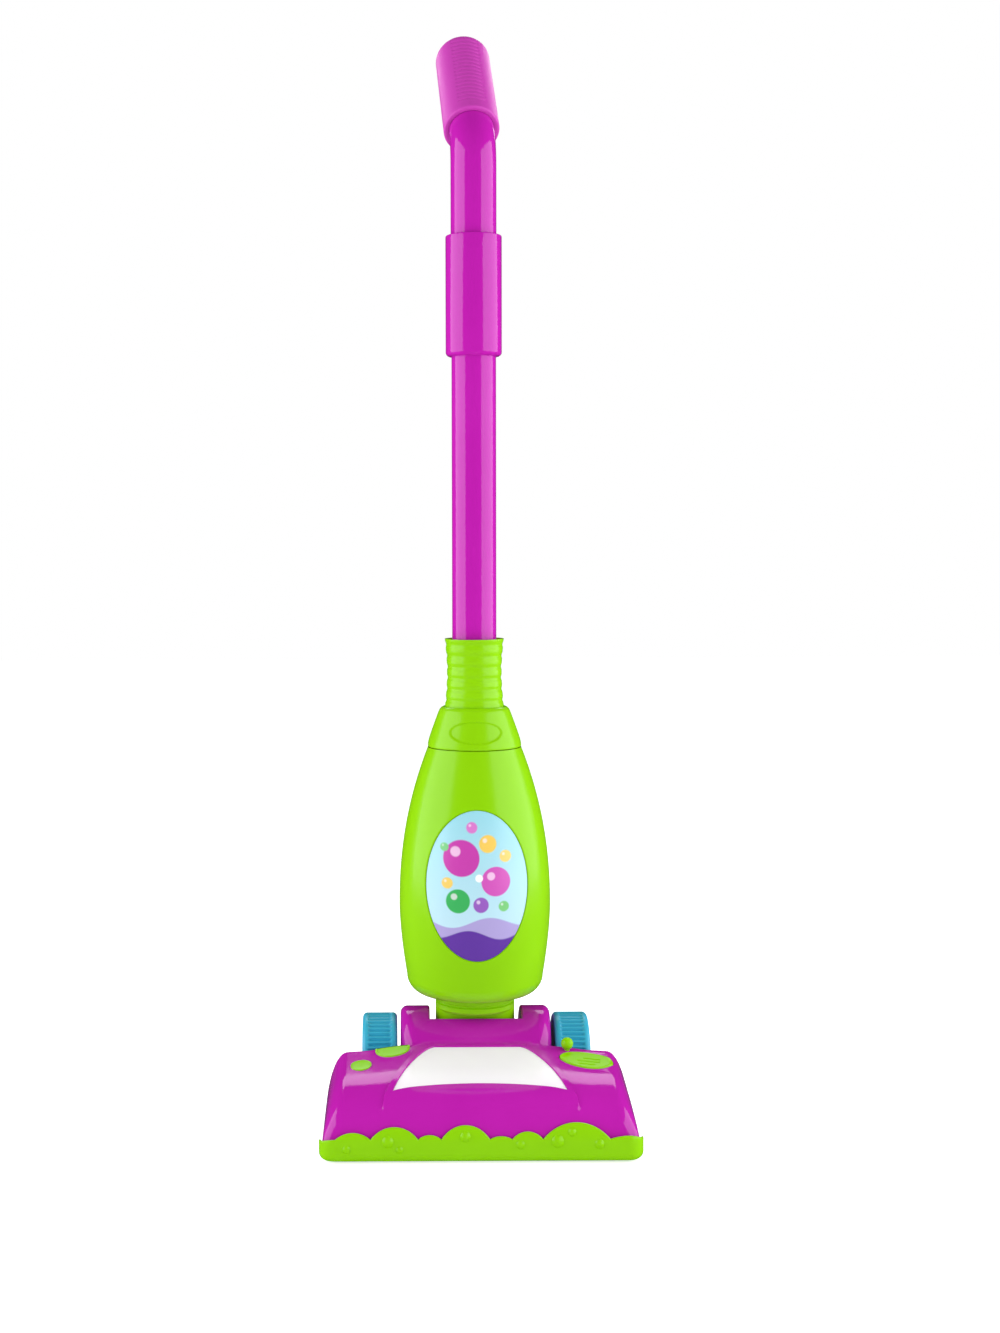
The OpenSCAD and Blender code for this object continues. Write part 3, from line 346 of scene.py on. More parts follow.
rim_z = axle_z + np.sqrt(yoke_r ** 2 - (slot_y - rim_r) ** 2)
bridge_y = np.concatenate([[slot_y], slot_y - rim_r + rim_r * np.cos(rim), -yoke_r * np.sin(lean)[1:],
                           [slot_y]])
bridge_z = np.concatenate([[base_z], rim_z - rim_r + rim_r * np.sin(rim), axle_z + yoke_r * np.cos(lean)[1:],
                           [base_z]])
bridge_x = np.array([-slot_hw - ear_lap, slot_hw + ear_lap])
bridge = np.stack([np.repeat(bridge_x[:, None], len(bridge_y), 1),
                   np.tile(bridge_y, (2, 1)), np.tile(bridge_z, (2, 1))], -1)
# The cove is part of the circle that touches both the deck's line and the barrel.
fillet, cove_lap = 5.0, 1.0
foot_y = np.linspace(deck_y, deck_y + 8, 2000)
centre_y = foot_y - fillet * np.sin(slope)
centre_z = deck_top(foot_y) + fillet * np.cos(slope)
best = np.argmin(np.abs(np.hypot(centre_y, centre_z - axle_z) - yoke_r - fillet))
end_turn = np.arctan2(axle_z - centre_z[best], -centre_y[best])
bow = np.linspace(slope - np.pi / 2, end_turn, 10)
cove_y = np.concatenate([[deck_y - cove_lap], centre_y[best] + fillet * np.cos(bow)])
cove_z = np.concatenate([[deck_top(deck_y - cove_lap)], centre_z[best] + fillet * np.sin(bow)])
cove_half, taper = np.array([30.0, 34, 37, 39]), np.array([1, 0.75, 0.35, 0.03])
cove_x = np.concatenate([-cove_half[::-1], cove_half])
full = np.concatenate([taper[::-1], taper])[:, None]
cove_in = np.array([-np.sqrt(yoke_r ** 2 - (deck_back_z - axle_z) ** 2), deck_back_z])
cove = np.stack([np.repeat(cove_x[:, None], len(cove_y), 1), cove_in[0] + (cove_y - cove_in[0]) * full,
                 cove_in[1] + (cove_z - cove_in[1]) * full], -1)
n_loop, n_oval = len(window_loop), len(outer)
points, faces = join([
    (grid.reshape(-1, 3), faces[keep][:, ::-1]),
    (lip, quads(1 + len(window_drops), n_loop, round_trip=True)),
    (patch.reshape(-1, 3), quads(len(share), n_oval, round_trip=True)),
    (well, quads(1 + len(button_drops), n_oval, round_trip=True)),
    (rear, quads(2, n_columns)[:, ::-1]),
    (ear, quads(len(ear_x), ear_n, round_trip=True)),
    (ear * [-1, 1, 1], quads(len(ear_x), ear_n, round_trip=True)[:, ::-1]),
    (bridge.reshape(-1, 3), quads(2, len(bridge_y))),
    (cove.reshape(-1, 3), quads(len(cove_x), len(cove_y)))])
shell = mesh_object("head_shell_skin", points, faces)
shell.data.materials.append(magenta)
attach(shell, "head")
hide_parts("head_shell")

# Window: a plate of milky plastic that lies in the deck and lets the lamps below shine through.
# It follows the deck and turns down at the front with the nose.
pane_rows, pane_columns = slice(front_row, rear_row + 1), slice(first, last + 1)
pane = grid[pane_rows, pane_columns].copy()
pane_gap, pane_up, pane_out, pane_mid = 0.45, 0.3, 0.15, window_y - window_l / 2
pane_edge = np.array([1.4, 0.12, 0.12, 1.4])
pane[..., 0] *= 1 - pane_gap / edge[pane_rows]
pane[..., 1] = pane_mid + (pane[..., 1] - pane_mid) * (1 - 2 * pane_gap / window_l)
pane[..., 2] = loaf_z(pane[..., 0], pane[..., 1]) + pane_up
pane = np.pad(pane, ((2, 2), (2, 2), (0, 0)), "edge")
pane[[0, 1, -2, -1], :, 2] -= pane_edge[:, None]
pane[2:-2, [0, 1, -2, -1], 2] -= pane_edge
pane[[1, -2], :, 1] += np.array([-pane_out, pane_out])[:, None]
window = mesh_object("window_pane", pane.reshape(-1, 3), quads(*pane.shape[:2])[:, ::-1])
milk = moulded_plastic("milky_plastic", srgb(244, 236, 246), srgb(253, 246, 254), 0.22)
haze = milk.node_tree.nodes["Principled BSDF"]
haze.inputs["Subsurface Weight"].default_value = 0.3
haze.inputs["Subsurface Radius"].default_value = (0.004, 0.004, 0.004)
window.data.materials.append(milk)
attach(window, "head")
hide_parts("window")


# Deck trim: two spots of green plastic let into the deck on the left, each with a thin raised rim,
# the larger one cut off by the deck's rear edge, and a small green ball on a peg at that edge.
def deck_disc(x, y, rx, ry, profile, n=96):
    """An oval inlay on the deck: rings at shares of its radius, each at its own height above the loaf."""
    share, height = np.array(profile).T
    turn = np.linspace(0, 2 * np.pi, n, endpoint=False)
    px = x + rx * share[:, None] * np.cos(turn)
    py = np.minimum(y + ry * share[:, None] * np.sin(turn), deck_y + 0.02)
    pz = loaf_z(px, py) + height[:, None]
    return np.stack([px, py, pz], -1).reshape(-1, 3), quads(len(share), n, round_trip=True)[:, ::-1]


def ball_points(centre, r, n=32):
    """A sphere as rings of latitude from pole to pole."""
    north = np.linspace(-np.pi / 2, np.pi / 2, n // 2 + 1)[:, None]
    east = np.linspace(0, 2 * np.pi, n, endpoint=False)
    sphere = np.stack([np.cos(north) * np.cos(east), np.cos(north) * np.sin(east),
                       np.sin(north) + 0 * east], -1)
    return np.asarray(centre) + r * sphere.reshape(-1, 3), quads(n // 2 + 1, n, round_trip=True)


green = moulded_plastic("green_gloss", srgb(133, 200, 0), srgb(143, 210, 1), 0.22)
green.node_tree.nodes["Principled BSDF"].inputs["Specular IOR Level"].default_value = 0.35
inlay = [(0.001, 0.45), (0.5, 0.45), (0.84, 0.42), (0.88, 0.4), (0.9, 0.62),
         (0.95, 0.68), (0.985, 0.6), (1.0, 0.35), (1.0, -0.8)]
spot_places = ((-48.0, deck_y - 1.5, 9.85), (-65.5, deck_y - 17.5, 5.85))
spots = mesh_object("deck_spot_inlays", *join([deck_disc(x, y, r, r, inlay) for x, y, r in spot_places]))
spots.data.materials.append(green)
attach(spots, "head")
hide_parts("deck_spots")
ball_r, ball_x, ball_over, ball_lift, peg_r, peg_deep, peg_n = 3.5, 51.0, 0.5, 0.15, 1.48, 4.0, 24
ball_y = deck_y - ball_r + ball_over
ball_z = loaf_z(ball_x, ball_y) + ball_r / np.cos(slope) + ball_lift
peg_turn = np.linspace(0, 2 * np.pi, peg_n, endpoint=False)
peg_z = loaf_z(ball_x, ball_y) + np.array([[-peg_deep], [ball_r]]) + 0 * peg_turn
peg_points = np.stack([ball_x + peg_r * np.cos(peg_turn) + 0 * peg_z,
                       ball_y + peg_r * np.sin(peg_turn) + 0 * peg_z, peg_z], -1).reshape(-1, 3)
ball = mesh_object("deck_ball_knob", *join([ball_points((ball_x, ball_y, ball_z), ball_r),
                                           (peg_points, quads(2, peg_n, round_trip=True))]))
ball.data.materials.append(green)
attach(ball, "head")
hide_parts("deck_ball")

# Foot button: an oval cap of green plastic on a spring, a little proud of the deck until it is trodden on.
# A thin rim runs round it and three short lines are sunk into its top.
cap_h, cap_fall = 0.55, 0.1
cap = [(0.001, cap_h)] + [(s, cap_h - cap_fall * s ** 4) for s in np.linspace(0.03, 0.88, 48)]
cap += [(0.9, 0.5), (0.92, 0.62), (0.96, 0.64), (0.985, 0.55), (1.0, 0.3), (1.0, -6.0)]
cap_points, cap_faces = deck_disc(button_x, button_y, button_w / 2, button_d / 2, cap, 160)
line_w, line_fade, line_end, line_depth = 0.4, 1.6, 0.6, 0.7
for line_y, line_x, line_half in ((-5.0, 0.0, 4.0), (-1.7, 1.0, 6.0), (1.6, 3.0, 4.5)):
    near = np.clip(line_fade - np.abs(cap_points[:, 1] - button_y - line_y) / line_w, 0, 1)
    near *= np.clip((line_half - np.abs(cap_points[:, 0] - button_x - line_x)) / line_end + 1, 0, 1)
    cap_points[:, 2] -= line_depth * near
button = mesh_object("foot_button_cap", cap_points, cap_faces, 50.0)
button.data.materials.append(green)
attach(button, "foot_button")
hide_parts("foot_button")

# Bumper: a skirt of green plastic along the front of the head and round its corners, rounded below.
# Its upper edge runs in lobes of different widths, and small domes stand on its face.
lobes = np.array([[-78.5, -59.5, 17.1], [-59.5, -34, 19.9], [-34, -21.5, 15.9], [-21.5, 4.5, 20.7],
                  [4.5, 16.5, 15.2], [16.5, 33, 17.5], [33, 69, 21.9], [69, 90, 15.2]])
dots = np.array([[-72.4, 8.4, 2.2], [-50.2, 12.3, 3.2], [-44, 8.2, 2], [-8.7, 14.8, 2.8], [20.7, 10.8, 2.4],
                 [40.7, 12.3, 3.4], [48.5, 16.9, 2.2], [63, 11, 2.6]])
bumper_low, bumper_h, bumper_out, bumper_round = 1.0, 13.6, 1.75, 4.0


def lobe_top(x):
    """Height of the bumper's upper edge: the highest of a level line and one round arc for each lobe."""
    half = (lobes[:, 1] - lobes[:, 0]) / 2
    sag = lobes[:, 2] - bumper_h
    r = (half ** 2 + sag ** 2) / (2 * sag)
    off = np.asarray(x)[..., None] - (lobes[:, 0] + half)
    arc = lobes[:, 2] - r + np.sqrt(np.maximum(r ** 2 - off ** 2, 0))
    return np.maximum(bumper_h, np.where(np.abs(off) < half, arc, 0).max(-1))


def nose_front(out, z):
    """Front of the nose at a height, moved out by a margin: upright below its middle, round above it."""
    return nose_y - np.sqrt((nose_r + out) ** 2 - np.maximum(0, z - nose_z) ** 2)


# The skirt's columns run from the left flank round both corners to the right one, and its rows up and over.
bumper_end, turn_x, flank_n, corner_n = shell_front + 12.0, shell_hw - corner_r, 24, 14
flank_left, corner_left = slice(0, flank_n), slice(flank_n, flank_n + corner_n)
corner_right, flank_right = slice(-flank_n - corner_n, -flank_n), slice(-flank_n, None)
straight = slice(flank_n + corner_n, -flank_n - corner_n)
flank = np.linspace(0, 1, flank_n)
corner = np.linspace(0, np.pi / 2, corner_n + 2)[1:-1]
face_x = np.linspace(-turn_x, turn_x, 560)
walk_x = np.concatenate([np.full(flank_n, -shell_hw), -turn_x - corner_r * np.cos(corner), face_x,
                         turn_x + corner_r * np.sin(corner), np.full(flank_n, shell_hw)])
corner_drop, flank_drop = 2.0, 6.0
top = lobe_top(walk_x)
top[flank_left] -= corner_drop + flank_drop * (1 - flank)
top[flank_right] -= corner_drop + flank_drop * flank
top[corner_left] -= corner_drop * np.cos(corner) ** 2
top[corner_right] -= corner_drop * np.sin(corner) ** 2
wall = np.linspace(0, 1, 9)[1:-1, None]
low_turn, high_turn = np.linspace(0, np.pi / 2, 8), np.linspace(0, np.pi / 2, 6)
lip_r, skirt_in, lip_out, lip_down = 0.8, 4.0, np.array([0.35, -2.2]), np.array([0.9, 2.5])
out_rows = np.concatenate([[-skirt_in], bumper_out - bumper_round + bumper_round * np.sin(low_turn),
                           np.full(len(wall), bumper_out), bumper_out - lip_r + lip_r * np.cos(high_turn),
                           lip_out])
z_rows = np.concatenate([
    np.full((1, len(top)), bumper_low),
    np.repeat(bumper_low + bumper_round * (1 - np.cos(low_turn))[:, None], len(top), 1),
    bumper_low + bumper_round + (top - lip_r - bumper_low - bumper_round) * wall,
    top - lip_r + lip_r * np.sin(high_turn)[:, None], top - lip_down[:, None]])
out_grid = np.repeat(out_rows[:, None], len(top), 1)
front = nose_front(out_grid, z_rows)
reach = corner_r + out_grid
behind = front + reach - bumper_end
skirt_x = np.concatenate([-(shell_hw + out_grid[:, flank_left]),
                          -turn_x - reach[:, corner_left] * np.cos(corner),
                          np.repeat(face_x[None], len(out_rows), 0),
                          turn_x + reach[:, corner_right] * np.sin(corner),
                          shell_hw + out_grid[:, flank_right]], 1)
skirt_y = np.concatenate([bumper_end + behind[:, flank_left] * flank,
                          front[:, corner_left] + reach[:, corner_left] * (1 - np.sin(corner)),
                          front[:, straight],
                          front[:, corner_right] + reach[:, corner_right] * (1 - np.cos(corner)),
                          bumper_end + behind[:, flank_right] * flank[::-1]], 1)
skirt = np.stack([skirt_x, skirt_y, z_rows], -1)
rung = np.arange(len(out_rows) // 2)
end_faces = np.stack([rung[:-1], rung[1:], len(out_rows) - 1 - rung[1:], len(out_rows) - 1 - rung[:-1]], -1)
ends = [(skirt[:, 0], end_faces), (skirt[:, -1], end_faces[:, ::-1])]
dome_grow, dome_sink = 1.3, 0.65
domes = [ball_points((x, nose_front(bumper_out, z) + dome_sink * dome_grow * r, z), dome_grow * r, 28)
         for x, z, r in dots]
bumper = mesh_object("bumper_skirt", *join([(skirt.reshape(-1, 3), quads(*skirt.shape[:2])), *ends, *domes]))
bumper.data.materials.append(green)
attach(bumper, "head")
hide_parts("bumper")

# Wheels: teal plastic mouldings with a tread of fine cross ribs between two smooth rims and a dished face.
# They are pressed on the ends of one steel axle.
wheel_r, wheel_w, wheel_in, tread_n, tread_round = 28.5, 20.0, 45.5, 56, 2.5
tread_rim, tread_ramp, tread_deep, tread_share, wheel_bore, back_rim = 3.2, 0.8, 1.8, 0.15, 2.6, 24.0
dish_in = np.array([0, 0.4, 2.7, 3, 3, 2.7, 0.9, 0.5, 0.1, 0])
dish_r = np.array([21.9, 21.5, 20.6, 20.2, 10.3, 9.9, 9.2, 8.7, 6.0, 0.02])
tread_turn = np.linspace(0, np.pi / 2, 7)
tread = np.linspace(tread_round, wheel_w - tread_round, 26)[1:-1]
wheel_a = np.concatenate([[0.0, 0.0], tread_round - tread_round * np.cos(tread_turn), tread,
                          wheel_w - tread_round + tread_round * np.sin(tread_turn), wheel_w - dish_in])
wheel_p = np.concatenate([[wheel_bore, back_rim], wheel_r - tread_round + tread_round * np.sin(tread_turn),
                          np.full(len(tread), wheel_r),
                          wheel_r - tread_round + tread_round * np.cos(tread_turn), dish_r])
wheel_turn = np.linspace(0, 2 * np.pi, tread_n * 8, endpoint=False)
inset = np.clip(np.minimum(wheel_a - tread_rim, wheel_w - tread_rim - wheel_a) / tread_ramp, 0, 1)
inset *= wheel_p > wheel_r - 0.01
groove = tread_deep * inset[:, None] * np.clip(tread_share - np.cos(tread_n * wheel_turn), 0, 1) ** 0.7
wheel_radius = wheel_p[:, None] - groove
wheel = np.stack([np.repeat(wheel_a[:, None] + wheel_in, len(wheel_turn), 1),
                  wheel_radius * np.cos(wheel_turn),
                  axle_z + wheel_radius * np.sin(wheel_turn)], -1).reshape(-1, 3)
wheel_faces = quads(len(wheel_a), len(wheel_turn), round_trip=True)
teal = moulded_plastic("teal_gloss", srgb(46, 162, 197), srgb(68, 182, 214), 0.28)
for side, name in ((-1, "left_wheel"), (1, "right_wheel")):
    made = mesh_object(name + "_tyre", wheel * [side, 1, 1], wheel_faces[:, ::side], 50.0)
    made.data.materials.append(teal)
    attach(made, "wheels")
    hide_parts(name)


# Body: a bottle of green plastic in two halves that are screwed together from behind, seam at the sides.
# A shallow oval recess in the front takes the label; four deep holes in the back lead to the screws.
body_r, body_z, belly_z, seam_z, seam_r, heel_r = 43.8, 70.5, 122.0, 214.0, 27.0, 11.0
heel_z, heel_out, lower_power, upper_power = body_z + heel_r, 4.2, 1.6, 2.15
label_z, label_hw, label_hh = 139.5, 29.0, 42.5
screw_x, screw_z, screw_r, foot_r = 24.0, np.array([98.0, 156.0]), 3.0, 23.2


def body_radius(z):
    """Radius of the bottle: a quarter round heel, a power curve out to the belly, and one in to the seam."""
    heel = body_r - heel_out - heel_r + np.sqrt(np.maximum(heel_r ** 2 - np.minimum(z - heel_z, 0) ** 2, 0))
    lower = body_r - heel_out * (np.clip(belly_z - z, 0, None) / (belly_z - heel_z)) ** lower_power
    narrowed = np.clip(z - belly_z, 0, None) / (seam_z - belly_z)
    upper = body_r - (body_r - seam_r) * narrowed ** upper_power
    return np.where(z < heel_z, heel, np.where(z < belly_z, lower, upper))


def on_body(a, z, depth=0.0):
    """Point of the bottle at an angle from the front and a height, sunk by a depth."""
    r = body_radius(z) - depth
    return np.stack([r * np.sin(a), -r * np.cos(a), z + 0 * a], -1)


def punched(a, z, holes):
    """A grid over the bottle with oval holes: each block of cells round a hole gives way to rings from the
    block's outline to the oval, and on over its edge to a depth. A hole is its middle's angle and height,
    its half sizes, the block's margins in angle and height, and its edge rings, each so much wider and so
    deep."""
    aa, zz = np.meshgrid(a, z)
    cells = quads(len(z), len(a)).reshape(len(z) - 1, len(a) - 1, 4)
    kept = np.ones(cells.shape[:2], bool)
    parts = []
    for centre_a, centre_z, hw, hh, margin, rings in holes:
        half_a = np.arcsin(hw / body_radius(np.array(centre_z + hh)))
        c0, c1 = np.searchsorted(a, [centre_a - half_a - margin[0], centre_a + half_a + margin[0]])
        r0, r1 = np.searchsorted(z, [centre_z - hh - margin[1], centre_z + hh + margin[1]])
        kept[r0:r1, c0:c1] = False
        loop = np.concatenate([[(r0, c) for c in range(c0, c1)], [(r, c1) for r in range(r0, r1)],
                               [(r1, c) for c in range(c1, c0, -1)], [(r, c0) for r in range(r1, r0, -1)]])
        la, lz = aa[loop[:, 0], loop[:, 1]], zz[loop[:, 0], loop[:, 1]]
        turn = np.arctan2((lz - centre_z) / hh, body_radius(lz) * np.sin(la - centre_a) / hw)
        steps = []
        for grow, depth in rings:
            oz = centre_z + (hh + grow) * np.sin(turn)
            oa = centre_a + np.arcsin((hw + grow) * np.cos(turn) / body_radius(oz))
            steps.append((oa, oz, depth))
        first_a, first_z, _ = steps[0]
        between = [(la + (first_a - la) * s, lz + (first_z - lz) * s, 0.0) for s in np.linspace(0, 1, 7)[:-1]]
        surface = np.concatenate([on_body(*step) for step in between + steps])
        parts.append((surface, quads(len(between) + len(rings), len(loop), round_trip=True)))
    return [(on_body(aa, zz).reshape(-1, 3), cells[kept]), *parts]


heel_turn = np.linspace(0, np.pi / 2, 12)
body_rows = np.concatenate([heel_z - heel_r * np.cos(heel_turn), np.linspace(heel_z, seam_z, 72)[1:]])
half_turn = np.radians(np.concatenate([[-90, -89.6], np.linspace(-88.5, 88.5, 73), [89.6, 90]]))
frame_rings = [(0.9, 0.0), (0.45, 0.05), (0.1, 0.35), (0.0, 0.9), (-3.0, 0.9)]
well_rings = [(0.35, 0.0), (0.1, 0.1), (0.0, 0.4), (-0.1, 9.0), (-2.9, 9.0)]
frame_margin, well_margin = (0.1, 5.0), (0.09, 4.0)
screw_angle = np.arcsin(screw_x / body_radius(screw_z))
pocket = (0.0, label_z, label_hw, label_hh, frame_margin, frame_rings)
wells = [(side * t, z, screw_r, screw_r, well_margin, well_rings)
         for side in (-1, 1) for t, z in zip(screw_angle, screw_z)]
underside = np.stack([np.stack([r * np.sin(half_turn), -r * np.cos(half_turn), 0 * half_turn + body_z], -1)
                      for r in (foot_r, body_r - heel_out - heel_r)]).reshape(-1, 3)
for name, back, holes in (("body_front", 1, [pocket]), ("body_back", -1, wells)):
    points, faces = join([*punched(half_turn, body_rows, holes), (underside, quads(2, len(half_turn)))])
    half = mesh_object(name + "_shell", points * [back, back, 1], faces)
    half.data.materials.append(green)
    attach(half, "upright")
    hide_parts(name)

# Label: a printed paper oval, stuck in the recess. The print is a plain pattern on pale blue: round bubbles
# in pink, violet, green and yellow, each with a pale shine, over two rolling violet waves.
ring_n, spoke_n, print_gap, print_deep, ink_edge = 120, 400, 0.25, 0.45, 0.5
ring = np.linspace(0.001, 1, ring_n)[:, None]
spoke = np.linspace(0, 2 * np.pi, spoke_n, endpoint=False)
print_x = (label_hw - print_gap) * ring * np.cos(spoke)
print_z = label_z + (label_hh - print_gap) * ring * np.sin(spoke)
sheet = on_body(np.arcsin(print_x / body_radius(print_z)), print_z, print_deep).reshape(-1, 3)
label = mesh_object("label_print", sheet, quads(ring_n, spoke_n, round_trip=True)[:, ::-1])
u, v = print_x.ravel(), (print_z - label_z).ravel()


def over(ground, ink, cover):
    """Ink laid over a ground with a cover from 0 to 1 at each point."""
    return ground + (np.asarray(ink)[:3] - ground) * np.clip(cover, 0, 1)[:, None]


low_sky, high_sky = np.array(srgb(196, 226, 240)[:3]), np.array(srgb(150, 212, 226)[:3])
ink = low_sky + (high_sky - low_sky) * np.clip((v + label_hh) / (2 * label_hh), 0, 1)[:, None]
bubbles = ((-9, 16, 10.5, (196, 62, 170)), (10.5, 3, 8.5, (206, 84, 184)), (-11, -8, 7, (58, 176, 92)),
           (6, 24, 5.2, (240, 200, 92)), (16, 17, 3.6, (240, 206, 110)), (-17, 2, 3.4, (238, 202, 100)),
           (2, -10, 4.6, (150, 92, 190)), (-3, 33, 3.4, (214, 120, 200)), (15, -11, 3.2, (120, 200, 120)),
           (-18.5, 22, 2.6, (120, 200, 130)), (1, 5, 2.4, (250, 250, 250)))
waves = ((-20, 3.0, 7.0, 0.6, (172, 160, 214)), (-27, 2.6, 6.0, 2.4, (96, 52, 160)))
shine_x, shine_z, shine_r, shine_edge, shine_cover = 0.32, 0.36, 0.3, 0.6, 0.55
for bx, bz, r, colour in bubbles:
    far = np.hypot(u - bx, v - bz)
    ink = over(ink, srgb(*colour), (r - far) / ink_edge)
    shine = np.hypot(u - bx + shine_x * r, v - bz - shine_z * r)
    ink = over(ink, srgb(255, 240, 255), shine_cover * np.clip((shine_r * r - shine) / shine_edge, 0, 1))
for wave_z, swell, spread, start, colour in waves:
    ink = over(ink, srgb(*colour), (wave_z + swell * np.sin(u / spread + start) - v) / ink_edge)
tint = label.data.color_attributes.new("print", "FLOAT_COLOR", "POINT")
tint.data.foreach_set("color", np.concatenate([ink, np.ones((len(ink), 1))], 1).astype(np.float32).ravel())
paper = moulded_plastic("printed_label", srgb(255, 255, 255), srgb(255, 255, 255), 0.3, 0.01)
inked = paper.node_tree.nodes.new("ShaderNodeVertexColor")
inked.layer_name = "print"
sheen = paper.node_tree.nodes["Principled BSDF"]
paper.node_tree.links.new(inked.outputs["Color"], sheen.inputs["Base Color"])
label.data.materials.append(paper)
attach(label, "upright")
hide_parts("label")


# Collar: a ring of green plastic that caps the body and narrows upwards, with a bare oval recess in front.
# The ribbed neck rises out of it like a short hose end and grips the tube.
def soften(line, times):
    """A broken line with its corners cut again and again, each cut a quarter of the way along both sides."""
    line = np.asarray(line, float)
    for _ in range(times):
        a, b = line[:-1], line[1:]
        cuts = np.stack([a * 0.75 + b * 0.25, a * 0.25 + b * 0.75], 1).reshape(-1, 2)
        line = np.concatenate([line[:1], cuts, line[-1:]])
    return line


def revolved(line, n):
    """A profile of radius and height carried round the upright axis, as a grid of points."""
    turn = np.linspace(0, 2 * np.pi, n, endpoint=False)
    r, z = np.asarray(line, float).T
    return np.stack([r[:, None] * np.sin(turn), -r[:, None] * np.cos(turn), z[:, None] + 0 * turn], -1)


def turned_mesh(name, rings, crease=35.0):
    """A mesh from a grid of points whose rows are rings, each closed on itself and joined to the next."""
    return mesh_object(name, rings.reshape(-1, 3), quads(*rings.shape[:2], round_trip=True), crease)


def evenly(line, step):
    """A broken line with points added so that no two are further apart than a step."""
    line = np.asarray(line, float)
    run = np.concatenate([[0], np.cumsum(np.hypot(*np.diff(line, axis=0).T))])
    at = np.linspace(0, run[-1], int(run[-1] / step) + 2)
    return np.stack([np.interp(at, run, line[:, 0]), np.interp(at, run, line[:, 1])], -1)


collar_bend = [[24.8, 214.2], [26.7, 214.2], [27.0, 214.5], [27.0, 216.2], [26.3, 219.1], [24.6, 224.1],
               [22.6, 229.6], [20.9, 234.2], [19.8, 236.6], [17.15, 238], [17.15, 235]]
collar_points = revolved(evenly(soften(collar_bend, 3), 0.45), 420)
oval_hw, oval_hh, oval_z, oval_deep, oval_edge = 15.5, 6.5, 224.0, 0.75, 0.1
x, y, z = np.moveaxis(collar_points, -1, 0)
sunk = np.clip((1 - np.sqrt((x / oval_hw) ** 2 + ((z - oval_z) / oval_hh) ** 2)) / oval_edge, 0, 1)
sunk = smooth(sunk * (y < 0))
collar_points[..., :2] *= (1 - oval_deep * sunk / np.hypot(x, y))[..., None]
collar = turned_mesh("collar_ring", collar_points)
collar.data.materials.append(green)
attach(collar, "upright")
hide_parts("collar")
neck_low, neck_high, neck_foot, neck_r, neck_bore, rib_n = 238.0, 276.5, 217.0, 17.0, 12.72, 6
waist, rib_deep, flange_r, flange_low, flange_high = 1.2, 0.5, 18.6, 231.8, 235.3
s = np.linspace(0, 1, 121)
rib_cut = rib_deep * (0.5 - 0.5 * np.cos(2 * np.pi * rib_n * s)) ** 2.2
rib_line = np.stack([neck_r - waist * np.sin(np.pi * s) - rib_cut, neck_low + (neck_high - neck_low) * s], -1)
mouth = soften([rib_line[-1], [neck_r - 0.2, neck_high], [14.9, neck_high], [14.6, neck_high - 0.6],
                [neck_bore, neck_high - 4]], 2)
neck_root = [[neck_bore, neck_foot], [neck_r, neck_foot], [neck_r, flange_low], [flange_r, flange_low],
             [flange_r, flange_high], [neck_r, flange_high]]
neck_line = np.concatenate([neck_root, rib_line[:-1], mouth])
neck = turned_mesh("ribbed_neck_sleeve", revolved(neck_line, 128))
neck.data.materials.append(green)
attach(neck, "upright")
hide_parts("ribbed_neck")

# Handle: two glossy tubes of magenta plastic, the upper one in a wide socket at the top of the lower one.
# The upper tube bends back and carries a satin grip with fine ribs across its front.
tube_r, tube_foot, socket_r, socket_z, socket_top, upper_r = 12.7, 217.0, 16.0, 437.5, 505.5, 13.0
round_in, socket_round = np.linspace(-np.pi / 2, 0, 8), 2.4
socket_line = np.concatenate([
    [[tube_r - 1.8, tube_foot], [tube_r, tube_foot], [tube_r, socket_z - 0.4], [tube_r + 0.3, socket_z]],
    np.stack([socket_r - socket_round + socket_round * np.cos(round_in),
              socket_z + socket_round + socket_round * np.sin(round_in)], -1),
    [[socket_r, socket_top - 0.9], [socket_r - 0.25, socket_top - 0.25], [socket_r - 0.9, socket_top],
     [upper_r + 0.9, socket_top], [upper_r + 0.35, socket_top - 0.5], [upper_r + 0.1, socket_top - 3]]])
lower = turned_mesh("lower_tube_socket", revolved(socket_line, 96))
lower.data.materials.append(magenta)
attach(lower, "upright")
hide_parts("lower_tube")
toy_h, upper_foot, upper_out, tail_l, bend_r = 630.0, 444.7, 507.0, 66.0, 30.0
grip_lean, handle_turn, grip_l, grip_r, grip_round = np.radians(45), np.radians(4), 78.0, 16.0, 6.0
bend_end = np.array([bend_r * (1 - np.cos(grip_lean)), bend_r * np.sin(grip_lean)])
grip_rise = (grip_l - grip_round) * np.cos(grip_lean) + (grip_r - grip_round) * np.sin(grip_lean) + grip_round
bend_z = toy_h - grip_rise - bend_end[1]


def handle_frame(points):
    """Turns points of the upper handle by a few degrees about the upright axis, as it sits in its socket."""
    c, s = np.cos(handle_turn), np.sin(handle_turn)
    x, y, z = np.moveaxis(points, -1, 0)
    return np.stack([c * x - s * y, s * x + c * y, z], -1)


bend = np.linspace(0, grip_lean, 25)
path_y = np.concatenate([[0, 0], bend_r * (1 - np.cos(bend)), [bend_end[0] + tail_l * np.sin(grip_lean)]])
path_z = np.concatenate([[upper_foot, upper_out], bend_z + bend_r * np.sin(bend),
                         [bend_z + bend_end[1] + tail_l * np.cos(grip_lean)]])
path_lean = np.concatenate([[0, 0], bend, [grip_lean]])[:, None]
round_tube = np.linspace(0, 2 * np.pi, 96, endpoint=False)
upper_points = np.stack([upper_r * np.sin(round_tube) + 0 * path_lean,
                         path_y[:, None] - upper_r * np.cos(round_tube) * np.cos(path_lean),
                         path_z[:, None] + upper_r * np.cos(round_tube) * np.sin(path_lean)], -1)
upper = turned_mesh("upper_tube_bend", handle_frame(upper_points))
upper.data.materials.append(magenta)
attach(upper, "upright")
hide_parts("upper_tube")
